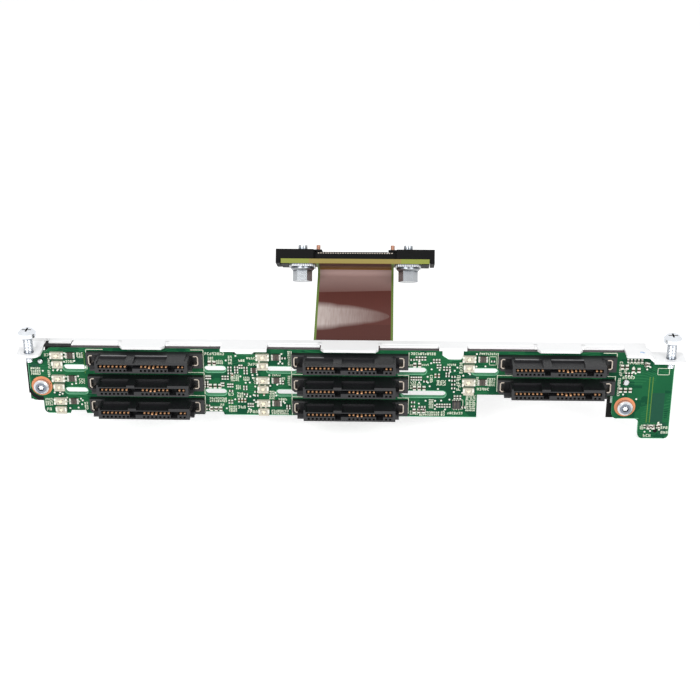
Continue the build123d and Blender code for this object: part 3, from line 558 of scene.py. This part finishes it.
# The same for print that runs up the board: left, bottom, right, top, columns
PRINT_COLUMNS = (
    (-94.4, -6.1, -93.6, -2.4, 1), (-94.7, -9.0, -93.9, -6.4, 1), (-19.0, -4.2, -18.2, 0.6, 1),
    (-19.1, -11.2, -18.2, -7.7, 1), (-25.1, -16.1, -23.3, -12.8, 2), (-29.8, -10.7, -29.2, -8.2, 1),
    (34.6, -6.4, 35.6, -2.3, 1), (25.5, -9.7, 26.4, -6.8, 1), (27.5, -10.7, 30.5, -8.7, 3),
    (33.7, -12.4, 35.1, -6.4, 1), (39.9, -10.6, 40.7, -7.4, 1), (36.7, -19.6, 39.9, -13.5, 3),
    (25.2, -18.7, 26.8, -15.6, 2), (84.1, -6.8, 85.2, -1.9, 1), (84.0, -13.7, 84.9, -7.5, 1),
    (92.0, -25.4, 93.2, -23.2, 1), (85.5, -5.8, 86.6, -3.8, 1),
)

# Rows and stacks of small two terminal parts: left, bottom, right, top, how many
PART_ROWS = (
    (-39.9, -9.0, -37.4, -8.0, 3), (-44.9, -9.2, -43.1, -7.6, 3), (-40.2, -11.6, -39.0, -10.1, 2),
    (-38.2, -12.0, -36.1, -10.4, 3), (-34.4, -5.2, -33.0, -4.0, 2), (-32.0, -19.2, -29.8, -16.9, 3),
    (-22.5, -10.4, -20.1, -9.5, 3), (-38.1, -18.0, -36.3, -15.9, 2), (20.8, -1.8, 24.4, -0.6, 4),
    (27.4, -4.3, 29.1, -3.4, 2), (29.4, -5.4, 32.1, -3.8, 3), (19.4, -8.7, 23.1, -7.6, 5),
    (21.9, -19.3, 24.5, -17.7, 3), (27.5, -18.3, 32.3, -16.8, 6), (32.9, -15.2, 35.6, -13.9, 3),
    (26.2, -2.9, 28.8, -1.2, 3), (86.1, -1.7, 91.5, -1.0, 5), (91.6, -3.3, 93.7, -2.0, 2),
    (85.9, -6.4, 88.6, -5.6, 3), (93.0, -24.8, 97.9, -23.6, 5),
)
PART_STACKS = (
    (-37.7, -7.5, -36.7, -4.4, 3), (-35.7, -7.1, -34.5, -4.4, 3), (-32.7, -7.4, -31.6, -4.5, 3),
    (-45.1, -12.1, -44.2, -9.6, 3), (-33.0, -12.9, -31.9, -11.1, 2), (-37.5, -13.8, -36.4, -12.5, 1),
    (-45.0, -20.3, -43.9, -17.7, 2), (-32.8, -14.7, -31.8, -13.8, 1), (-29.5, -15.3, -28.5, -12.7, 2),
    (-19.5, -19.5, -18.5, -17.8, 2), (-20.7, -2.2, -19.6, -1.0, 1), (19.5, -2.4, 20.5, -1.0, 1),
    (30.5, -7.7, 31.5, -5.8, 2), (32.3, -12.1, 33.4, -6.8, 4), (23.6, -9.9, 24.6, -8.4, 1),
    (19.8, -18.6, 20.9, -15.8, 2), (35.9, -19.0, 36.6, -17.2, 1), (44.4, -2.6, 45.5, -1.4, 1),
)
BROWN_PARTS = (
    (-34.6, -16.4), (-33.6, -16.4), (-32.6, -16.4), (27.2, -7.1), (28.3, -7.1), (-36.4, -7.6),
    (-91.2, -5.6), (-91.2, -13.7), (37.6, -5.6), (-26.6, -14.0),
)

# Small tinned dots
DOTS = (
    (-92.9, -6.7), (-91.6, -6.7), (-90.4, -6.7), (-96.2, -6.9), (-89.2, -3.7), (-85.2, -8.7),
    (-86.0, -11.2), (-87.3, -11.5), (-93.1, -14.5), (-91.6, -15.3), (-90.6, -14.9), (-88.6, -20.0),
    (-85.9, -19.8), (-89.3, -16.3), (-89.3, -17.6), (-89.1, -8.9), (-89.2, -10.2), (-88.9, -0.7),
    (-88.9, -1.9), (-85.9, -3.3), (-84.9, -16.6), (-84.4, -17.2), (-85.6, -17.6), (-84.7, -18.6),
    (-38.3, -2.7), (-35.2, -1.1), (-27.9, -3.1), (-21.8, -3.6), (-21.3, -3.0), (-20.6, -3.6),
    (-20.8, -0.3), (-22.0, -1.4), (-22.4, -11.0), (-24.8, -7.7), (-28.6, -7.5), (-30.1, -7.7),
    (-30.0, -8.7), (-33.9, -8.2), (-35.2, -6.0), (-31.0, -10.3), (-32.3, -10.4), (-29.3, -11.7),
    (-29.9, -14.7), (-32.1, -15.2), (-31.0, -15.2), (-29.8, -16.5), (-29.3, -17.2), (-20.5, -16.9),
    (-20.1, -17.4), (-23.0, -13.8), (-22.8, -14.8), (-24.6, -11.4), (-38.6, -19.5), (-31.5, -19.6),
    (-30.9, -19.9), (-35.8, -16.3), (-27.7, -19.2), (-26.2, -19.1), (-28.0, -11.3), (-26.2, -11.3),
    (22.1, -2.4), (25.8, -3.0), (26.0, -5.1), (28.5, -5.3), (31.8, -5.9), (33.2, -5.5), (34.0, -4.4),
    (24.8, -7.7), (24.9, -9.7), (25.5, -11.0), (28.1, -11.9), (31.6, -8.9), (33.1, -12.9),
    (35.8, -13.2), (35.9, -7.2), (35.8, -10.9), (24.3, -16.1), (27.3, -16.1), (29.2, -16.0),
    (31.8, -15.6), (24.1, -19.5), (27.3, -19.0), (27.3, -17.7), (22.2, -17.1), (30.5, -19.1),
    (22.2, -9.7), (39.9, 0.3), (39.9, -4.0), (42.7, -3.9), (38.0, -6.7), (42.7, -0.9), (86.8, -3.4),
    (88.6, -3.8), (92.8, -4.4), (93.7, -3.6), (89.3, -5.8), (90.6, -5.4), (86.0, -13.2), (90.2, -14.8),
    (97.8, -23.0), (98.7, -23.7), (93.7, -26.3), (95.4, -26.0), (98.2, -25.5),
)

# Cream lines round the connectors' footprints: left, bottom, right, top
OUTLINES = (
    (-82.2, 0.6, -76.7, 0.8), (-82.2, -6.2, -82.0, 0.8), (-49.3, 0.7, -45.2, 0.9),
    (-45.4, -6.6, -45.2, 0.9), (-50.3, -7.1, -45.2, -6.9), (-45.4, -14.6, -45.2, -7.1),
    (-50.3, -15.2, -45.2, -15.0), (-45.4, -20.8, -45.2, -15.1), (-17.9, -7.1, -17.7, 0.7),
    (-17.9, -7.4, -14.0, -7.2), (-17.9, -14.8, -17.7, -7.3), (-17.9, -15.3, -14.5, -15.1),
    (-17.9, -21.5, -17.7, -15.2), (18.8, -4.1, 19.0, 0.6), (18.8, -12.1, 19.0, -7.3),
    (18.8, -20.7, 19.0, -15.3), (15.5, -7.4, 19.0, -7.2), (15.5, -15.3, 19.0, -15.1),
    (46.4, -4.6, 46.6, 0.7), (46.4, -7.1, 51.3, -6.9), (46.4, -12.6, 46.6, -7.1),
    (83.1, -3.6, 83.3, 1.1), (79.0, 0.9, 83.3, 1.1), (80.7, -7.1, 83.3, -6.9),
    (83.1, -12.8, 83.3, -7.1), (96.1, -6.3, 99.8, -6.15), (96.1, -4.1, 99.8, -3.95),
    (96.1, -6.3, 96.25, -4.0), (99.65, -6.3, 99.8, -4.0), (43.8, -3.5, 46.1, -3.35),
    (43.8, -0.65, 46.1, -0.5), (43.8, -3.5, 43.95, -0.5), (45.95, -3.5, 46.1, -0.5),
    (32.7, -19.0, 36.1, -18.85), (32.7, -15.75, 36.1, -15.6), (32.7, -19.0, 32.85, -15.6),
    (35.95, -19.0, 36.1, -15.6),
)

# Dark mask over copper and light tracks: left, bottom, right, top
POURS = (
    (95.0, -23.0, 99.0, -12.6), (97.9, -27.4, 100.2, -23.0), (-99.6, -7.6, -97.2, -4.6),
    (36.8, -13.2, 39.8, -7.0),
)
TRACKS = (
    (93.8, -23.0, 94.05, -7.0), (94.8, -23.0, 95.05, -7.0), (-82.9, -7.6, -82.7, -0.4),
    (-37.2, -21.0, -37.0, -15.6),
)

# Bare laminate along the board's edges: left, bottom, right, top
EDGE_LINES = (
    (-95.3, -21.8, -88.9, -21.6), (-82.9, -21.8, -81.6, -21.6), (-38.8, -21.8, -17.8, -21.6),
    (15.5, -21.8, 40.3, -21.6), (84.6, -21.7, 91.4, -21.5), (93.2, -28.65, 99.5, -28.45),
    (101.05, -26.8, 101.2, -1.6), (-100.7, -15.4, -100.55, -1.6),
)

# Small parts about their centre: left, bottom, right, top of the body and of its two ends
PART_BODY = (-0.26, -0.28, 0.26, 0.28)
PART_ENDS = ((-0.27, -0.62, 0.27, -0.26), (-0.27, 0.26, 0.27, 0.62))
BROWN_BODY = (-0.28, -0.36, 0.28, 0.36)
BROWN_ENDS = ((-0.29, -0.66, 0.29, -0.34), (-0.29, 0.34, 0.29, 0.66))

# A small chip with three leads a side: left, bottom, right, top, and the leads' levels
SMALL_CHIP = (-30.2, -6.8, -28.9, -5.1)
SMALL_CHIP_LEADS = (-6.55, -5.95, -5.35)

# Lights about their centre: the lens' place, then left, bottom, right, top of the well and the specks
STATUS_LENS = (-0.05, 0.0, 0.5)
STATUS_WELL = (-1.0, -0.78, 0.95, 0.78)
STATUS_SPECKS = (
    (0.5, 0.2, 0.76, 0.5), (-0.8, -0.6, -0.55, -0.3), (0.1, -0.72, 0.4, -0.56), (-0.35, 0.56, -0.1, 0.74),
)
ACTIVITY_LENS = (0.0, 0.2, 0.42)
ACTIVITY_WELL = (-0.85, -0.5, 0.85, 0.75)
ACTIVITY_SPECKS = ((-0.62, -0.42, -0.38, -0.16), (0.4, -0.4, 0.64, -0.14))

# The flange in front: ends of its strips, then middles and widths of its tongues
FLANGE_SPANS = ((-86.2, -72.0), (-56.6, -43.4), (-25.0, -8.9), (9.8, 27.9), (37.2, 57.9), (73.2, 85.0))
TONGUES = ((-64.3, 14.0), (0.45, 17.9), (65.55, 13.9))

# Painted highlights along the top connectors' window edges: the connector's middle, then the edge's ends from
# there
PAINTED_HIGHLIGHT_EDGES = (
    (-63.65, -13.2, -5.0), (-63.65, -2.4, 7.6), (0.53, -13.2, -8.0), (64.83, -13.2, -6.1), (64.83, -2.2, 7.8),
)

BOX_FACES = ((0, 1, 2, 3), (7, 6, 5, 4), (0, 4, 5, 1), (1, 5, 6, 2), (2, 6, 7, 3), (3, 7, 4, 0))


def boxes(name, finish, items, front=0.02):
    """One piece made of flat blocks on the board's front face: left, bottom, right, top of each."""
    face = BOARD_FRONT - front
    corners = [((left, face, bottom), (right, BOARD_FRONT, top)) for left, bottom, right, top in items]
    return solids(name, finish, corners)


def solids(name, finish, items, turn=tuple):
    """One piece made of boxes: low and high corner of each in millimetres, and a turn for every point."""
    points = []
    faces = []
    for first, last in items:
        start = len(points)
        outline = (first[0], first[2]), (last[0], first[2]), (last[0], last[2]), (first[0], last[2])
        points += [turn((x, y, z)) for y in (first[1], last[1]) for x, z in outline]
        faces += [[start + corner for corner in face] for face in BOX_FACES]
    return piece(name, finish, points, faces)


def piece(name, finish, points, faces):
    """A mesh in millimetres that rides on the part."""
    data = bpy.data.meshes.new(name)
    data.from_pydata([tuple(value * MM for value in point) for point in points], [], faces)
    data.materials.append(FINISH[finish])
    made = bpy.data.objects.new(name, data)
    bpy.context.scene.collection.objects.link(made)
    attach(made, "root")
    return made


def discs(name, finish, spots, front=0.03, sides=10):
    """One piece made of flat round dots on the board's front face: x, z, radius of each."""
    points = []
    faces = []
    for x, z, radius in spots:
        start = len(points)
        for y in (BOARD_FRONT - front, BOARD_FRONT):
            for step in range(sides):
                angle = 2 * math.pi * step / sides
                points.append((x + radius * math.cos(angle), y, z + radius * math.sin(angle)))
        faces.append([start + step for step in range(sides)])
        for step in range(sides):
            after = (step + 1) % sides
            faces.append([start + step, start + sides + step, start + sides + after, start + after])
    return piece(name, finish, points, faces)


def strokes(left, bottom, right, top, rows, chance):
    """Short strokes that read as a field of fine print from a step away, but as no letters."""
    found = []
    height = (top - bottom) / rows
    tall = height * (0.78 if rows > 1 else 0.9)
    width = tall * 0.62
    for row in range(rows):
        base = bottom + row * height
        x = left
        while x + width * 0.8 < right:
            kinds = chance.sample(("post", "end", "low", "middle", "high"), 3)
            line = min(0.2, tall * 0.26)
            if "post" in kinds:
                found.append((x, base, x + line, base + tall))
            if "end" in kinds:
                found.append((x + width - line, base, x + width, base + tall * 0.9))
            for kind, level in (("low", 0.0), ("middle", 0.4), ("high", 0.8)):
                if kind in kinds:
                    found.append((x, base + tall * level, x + width, base + tall * level + line))
            x += width + tall * 0.26
    return found


def board_print():
    """Cream marks: fields of fine print, footprints' outlines and small bars."""
    chance = random.Random(11)
    found = []
    for left, bottom, right, top, rows in PRINT_ROWS:
        found += strokes(left, bottom, right, top, rows, chance)
    for left, bottom, right, top, columns in PRINT_COLUMNS:
        turned = strokes(bottom, -right, top, -left, columns, chance)
        found += [(-high_z, low_x, -low_z, high_x) for low_x, low_z, high_x, high_z in turned]
    boxes("board_print", "print", found, 0.02)
    boxes("footprint_lines", "print", OUTLINES, 0.025)


def about(x, z, marks):
    """Marks given from a centre, moved to where it lies."""
    return [(x + left, z + bottom, x + right, z + top) for left, bottom, right, top in marks]


def flipped(marks):
    """The same marks with across and up changed over."""
    return [(bottom, left, top, right) for left, bottom, right, top in marks]


def small_parts():
    """Small parts with tinned ends, the leads of the larger ones, and painted highlight bars on the driver
    chip and resistor arrays.
    """
    bodies = []
    ends = []
    brown = []
    for left, bottom, right, top, count in PART_ROWS:
        pitch = (right - left) / count
        for step in range(count):
            x = left + (step + 0.5) * pitch
            bodies += about(x, (bottom + top) / 2, [PART_BODY])
            ends += about(x, (bottom + top) / 2, PART_ENDS)
    for left, bottom, right, top, count in PART_STACKS:
        pitch = (top - bottom) / count
        for step in range(count):
            z = bottom + (step + 0.5) * pitch
            bodies += about((left + right) / 2, z, flipped([PART_BODY]))
            ends += about((left + right) / 2, z, flipped(PART_ENDS))
    for x, z in BROWN_PARTS:
        brown += about(x, z, [BROWN_BODY])
        ends += about(x, z, BROWN_ENDS)
    bodies.append(SMALL_CHIP)
    for z in SMALL_CHIP_LEADS:
        ends.append((SMALL_CHIP[0] - 0.35, z - 0.16, SMALL_CHIP[0], z + 0.16))
        ends.append((SMALL_CHIP[2], z - 0.16, SMALL_CHIP[2] + 0.35, z + 0.16))
    for left, bottom, right, top in solid_faces("driver_chip"):
        for share in (0.22, 0.5, 0.78):
            x = left + share * (right - left)
            ends.append((x - 0.1, bottom - 0.3, x + 0.1, bottom))
            ends.append((x - 0.1, top, x + 0.1, top + 0.3))
    for left, bottom, right, top in solid_faces("chip_capacitors"):
        ends.append((left - 0.02, bottom - 0.02, right + 0.02, bottom + 0.42))
        ends.append((left - 0.02, top - 0.42, right + 0.02, top + 0.02))
    boxes("small_part_bodies", "part", bodies, 0.36)
    boxes("small_part_ends", "solder", ends, 0.53)
    boxes("small_brown_parts", "brown", brown, 0.42)
    # Painted highlight: lighter brown bars on the driver chip and the resistor arrays.
    highlight_bars = []
    for name in ("driver_chip", "resistor_arrays"):
        for left, bottom, right, top in solid_faces(name):
            for share in (0.3, 0.7):
                x = left + share * (right - left)
                highlight_bars.append((x - 0.11, bottom + 0.15, x + 0.11, top - 0.15))
    depth = BOARD_FRONT - min(low("driver_chip")[1], low("resistor_arrays")[1])
    boxes("painted_highlight_bars", "bar", highlight_bars, depth + 0.02)
    discs("tinned_dots", "solder", [(x, z, 0.3) for x, z in DOTS])


def film_edges():
    """Film that shows past the board's left edge and laps its lower corner, and a white spacer that edges the
    right lobe.
    """
    rim_low = (BOARD_LEFT - 0.95, BOARD_BACK + 0.02, -15.5)
    rim_high = (BOARD_LEFT + 0.3, BOARD_BACK + 0.28, -3.0)
    solids("film_left_rim", "film", [(rim_low, rim_high)])
    screw_x, screw_z = SCREW_AXES[0]
    reach = 3.75
    lap_bottom = -17.28
    upright_steps = 6
    front = BOARD_FRONT - 0.03
    points = []
    faces = []
    for step in range(15):
        angle = math.radians(196 + step * 8)
        x = min(max(BOARD_LEFT - 0.05, screw_x + reach * math.cos(angle)), -96.75)
        z = screw_z + reach * math.sin(angle)
        points.append((x, front, z))
        points.append((BOARD_LEFT - 0.08, front, z) if step < upright_steps else (x, front, lap_bottom))
        if step:
            at = 2 * step - 2
            faces.append((at, at + 1, at + 3, at + 2))
    piece("film_lap", "film", points, faces)
    solids("lobe_spacer", "spacer", [((82.35, BOARD_BACK - 0.05, -16.9), (82.95, BOARD_BACK, -13.2))])


def flange_edges():
    """Steel that the flange carries forward between its tongues, and the strip beside the film's flap."""
    bottom = BOARD_TOP + 0.12
    items = [((left, 3.95, bottom), (right, 4.7, FLANGE_TOP)) for left, right in FLANGE_SPANS]
    for middle, width in TONGUES:
        for side in (-1, 1):
            edge = middle + side * (width / 2 + 0.45)
            items.append(((edge - 0.5, 4.6, FLANGE_TOP - 0.3), (edge + 0.5, 6.0, FLANGE_TOP)))
    items.append(((-94.0, 4.75, 1.66), (-87.0, 6.75, FLANGE_TOP)))
    solids("flange_front", "zinc", items)
    above = FLANGE_TOP + 0.01
    dabs = [((89.9, 0.55, FLANGE_TOP), (90.9, 1.35, above)), ((90.7, 0.2, FLANGE_TOP), (91.3, 0.9, above))]
    solids("ink_dab", "ink", dabs)


def connector_rims():
    """Painted highlights on the edges behind the windows of the top row's connectors."""
    top = high("drive_connector_1")[2]
    low_z = top - 0.1
    high_z = top + 0.012
    items = [((x + start, -0.86, low_z), (x + end, -0.42, high_z)) for x, start, end in PAINTED_HIGHLIGHT_EDGES]
    solids("connector_rims", "gloss", items)


def slot_rims():
    """Bare laminate round the vent slots."""
    steps = 12
    ring = 2 * (steps + 1)
    rim_width = 0.2
    y = BOARD_FRONT - 0.015
    points = []
    faces = []
    for z, places in SLOT_ROWS:
        for x, length in places:
            start = len(points)
            for reach in (SLOT_HEIGHT / 2, SLOT_HEIGHT / 2 + rim_width):
                for side in (1, -1):
                    centre = x + side * (length - SLOT_HEIGHT) / 2
                    for step in range(steps + 1):
                        angle = side * (math.pi / 2 - math.pi * step / steps)
                        across = side * reach * math.cos(angle)
                        points.append((centre + across, y, z + reach * math.sin(angle)))
            for step in range(ring):
                after = (step + 1) % ring
                faces.append((start + step, start + after, start + ring + after, start + ring + step))
    piece("slot_rims", "rim", points, faces)


def notch_corners():
    """Slanted blocks that fill the deep notch's lower corners."""
    notch = ((29.05, -0.25), (29.05, -2.0), (31.6, -2.0)), ((36.05, -0.6), (34.9, -2.0), (36.05, -2.0))
    points = []
    faces = []
    for corners in notch:
        start = len(points)
        for y in (BOARD_FRONT, BOARD_FRONT + 0.28):
            points += [(x, y, z) for x, z in corners]
        faces += [[start, start + 1, start + 2], [start + 5, start + 4, start + 3]]
        faces += [[start + a, start + a + 3, start + b + 3, start + b] for a, b in ((0, 1), (1, 2), (2, 0))]
    piece("notch_corners", "mask", points, faces)


def screw_recesses():
    """Six lobed bottoms of the board screws' recesses in a painted highlight, and a dark disc of painted
    shade in the tooling hole.
    """
    sides = 36
    points = []
    faces = []
    for screw_x, screw_z in SCREW_AXES:
        start = len(points)
        for step in range(sides):
            angle = 2 * math.pi * step / sides
            reach = LOBE_RADIUS + LOBE_DEPTH * math.cos(6 * angle)
            x = screw_x + reach * math.cos(angle)
            points.append((x, SCREW_FACE + RECESS_DEPTH, screw_z + reach * math.sin(angle)))
        faces.append([start + step for step in range(sides)])
    # Painted highlight: the recess bottoms are a brighter copy of the screw steel.
    piece("recess_bottoms", "bright", points, faces)
    discs("tooling_hole_shade", "film", [(*TOOLING_HOLE, TOOLING_SHADE_RADIUS)], 0.03, 14)


def head_details():
    """Socket walls in front of the contacts, the contacts' ends along the top, and pads below."""
    tilt = math.radians(HEAD_TILT)
    across = Vector((1, 0, 0))
    along = Vector((0, math.cos(tilt), -math.sin(tilt)))
    out = Vector((0, math.sin(tilt), math.cos(tilt)))
    origin = Vector(HEAD_ORIGIN)

    def turned(point):
        """A place on the tilted head, from its own three directions."""
        return tuple(origin + across * point[0] + along * point[1] + out * point[2])

    foot = 1.5
    rim = 3.6
    walls = [((-14.2, start, foot), (14.2, end, rim)) for start, end in ((1.55, 1.78), (7.72, 7.95))]
    for side in (-1, 1):
        walls.append(((side * 11.4 - 0.7, 1.7, foot), (side * 11.4 + 0.7, 7.8, rim)))
        walls.append(((side * 22.9 - 1.3, 0.1, -0.22), (side * 22.9 + 1.3, 9.4, -0.01)))
    solids("socket_walls", "carrier", walls, turned)
    pitch = 0.8
    count = 31
    middles = [(step - count // 2) * pitch for step in range(count)]
    ends = [((x - 0.2, 1.5, 3.45), (x + 0.2, 1.7, 3.75)) for x in middles]
    solids("contact_ends", "ends", ends, turned)


def lights():
    """Lenses, wells, specks and tinned ends of the indicator lights, and the resistor arrays' leads."""
    lenses = []
    ends = []
    gaps = []
    wells = []
    specks = []
    kinds = (
        ("status_leds", STATUS_LENS, STATUS_WELL, STATUS_SPECKS),
        ("activity_leds", ACTIVITY_LENS, ACTIVITY_WELL, ACTIVITY_SPECKS),
    )
    for name, lens, well, marks in kinds:
        for left, bottom, right, top in solid_faces(name):
            x = (left + right) / 2
            z = (bottom + top) / 2
            lenses.append((x + lens[0], z + lens[1], lens[2]))
            wells += about(x, z, [well])
            specks += about(x, z, marks)
            levels = [(z - 0.2, top - 0.1)]
            if name == "status_leds":
                levels = [(bottom + 0.1, bottom + 0.8), (top - 0.8, top - 0.1)]
                gaps.append((left + 0.55, bottom + 0.05, left + 0.75, bottom + 0.5))
                gaps.append((right - 0.75, top - 0.5, right - 0.55, top - 0.05))
            for start, end in ((left - 0.1, left + 0.5), (right - 0.5, right + 0.1)):
                ends += [(start, base, end, peak) for base, peak in levels]
    depth = BOARD_FRONT - low("status_leds")[1]
    discs("light_lenses", "lens", lenses, depth + 0.08, 18)
    boxes("light_ends", "solder", ends, depth + 0.03)
    boxes("light_gaps", "part", gaps, depth + 0.02)
    boxes("light_wells", "well", wells, depth + 0.04)
    boxes("light_specks", "brown", specks, depth + 0.06)
    leads = []
    for left, bottom, right, top in solid_faces("resistor_arrays"):
        pitch = (top - bottom) / 4
        for step in range(4):
            z = bottom + (step + 0.5) * pitch
            leads.append((left - 0.3, z - 0.15, left + 0.25, z + 0.15))
            leads.append((right - 0.25, z - 0.15, right + 0.3, z + 0.15))
    boxes("array_leads", "solder", leads, BOARD_FRONT - low("resistor_arrays")[1] + 0.03)


def solid_faces(name):
    """Left, bottom, right and top of each separate block in a CAD node, in millimetres."""
    form = bmesh.new()
    form.from_mesh(NODES[name].data)
    turn = NODES[name].matrix_world
    bmesh.ops.remove_doubles(form, verts=form.verts, dist=0.01 * MM)
    left_over = set(form.verts)
    found = []
    while left_over:
        group = {left_over.pop()}
        edge = list(group)
        while edge:
            vertex = edge.pop()
            for other in (link_edge.other_vert(vertex) for link_edge in vertex.link_edges):
                if other in left_over:
                    left_over.discard(other)
                    group.add(other)
                    edge.append(other)
        spots = [turn @ vertex.co / MM for vertex in group]
        xs = [spot.x for spot in spots]
        zs = [spot.z for spot in spots]
        found.append((min(xs), min(zs), max(xs), max(zs)))
    form.free()
    return sorted(found)


def seen_rays(tree):
    """One on rays that show a surface, straight, mirrored or through glass, and zero on the others."""
    ray = node(tree, "ShaderNodeLightPath")
    seen = math_node(tree, "MAXIMUM", ray.outputs["Is Camera Ray"], ray.outputs["Is Glossy Ray"])
    return math_node(tree, "MAXIMUM", seen, ray.outputs["Is Transmission Ray"])


def ground():
    """A white floor under the part, with a glow of its own."""
    made, tree, shader = material("floor_white", (0.86, 0.86, 0.86), 0.9)
    strength = math_node(tree, "MULTIPLY", seen_rays(tree), FLOOR_GLOW)
    glow = node(tree, "ShaderNodeEmission", {"Color": (1, 1, 1, 1), "Strength": strength})
    both = node(tree, "ShaderNodeAddShader", {0: shader.outputs[0], 1: glow.outputs[0]})
    link(tree, both.outputs[0], tree.nodes["Material Output"].inputs["Surface"])
    form = bmesh.new()
    bmesh.ops.create_grid(form, x_segments=1, y_segments=1, size=FLOOR_HALF_SIZE)
    data = bpy.data.meshes.new("floor")
    form.to_mesh(data)
    form.free()
    floor = bpy.data.objects.new("floor", data)
    floor.location = (0, 0, (low("main_board")[2] - FLOOR_GAP) * MM)
    data.materials.append(made)
    bpy.context.scene.collection.objects.link(floor)


def light_up():
    """White surroundings and two soft lamps that point at the part."""
    world = bpy.data.worlds.new("surroundings")
    bpy.context.scene.world = world
    world.use_nodes = True
    tree = world.node_tree
    strength = math_node(tree, "MULTIPLY_ADD", seen_rays(tree), 1.0 - WORLD_STRENGTH, WORLD_STRENGTH)
    back = tree.nodes["Background"]
    link(tree, strength, back.inputs["Strength"])
    back.inputs["Color"].default_value = (1, 1, 1, 1)
    for name, spot, size, power in LAMPS:
        light = bpy.data.lights.new(name, "AREA")
        light.shape = "SQUARE"
        light.size = size
        light.energy = power
        lamp = bpy.data.objects.new(name, light)
        lamp.location = spot
        lamp.rotation_euler = (-Vector(spot)).to_track_quat("-Z", "Y").to_euler()
        bpy.context.scene.collection.objects.link(lamp)


place_camera()
dress_nodes()
boxes("mask_over_copper", "pour", POURS, 0.012)
boxes("board_tracks", "track", TRACKS, 0.015)
board_print()
small_parts()
lights()
film_edges()
flange_edges()
connector_rims()
slot_rims()
boxes("board_edge_lines", "rim", EDGE_LINES, 0.015)
notch_corners()
screw_recesses()
head_details()
ground()
light_up()
bpy.context.scene.view_settings.view_transform = "Standard"
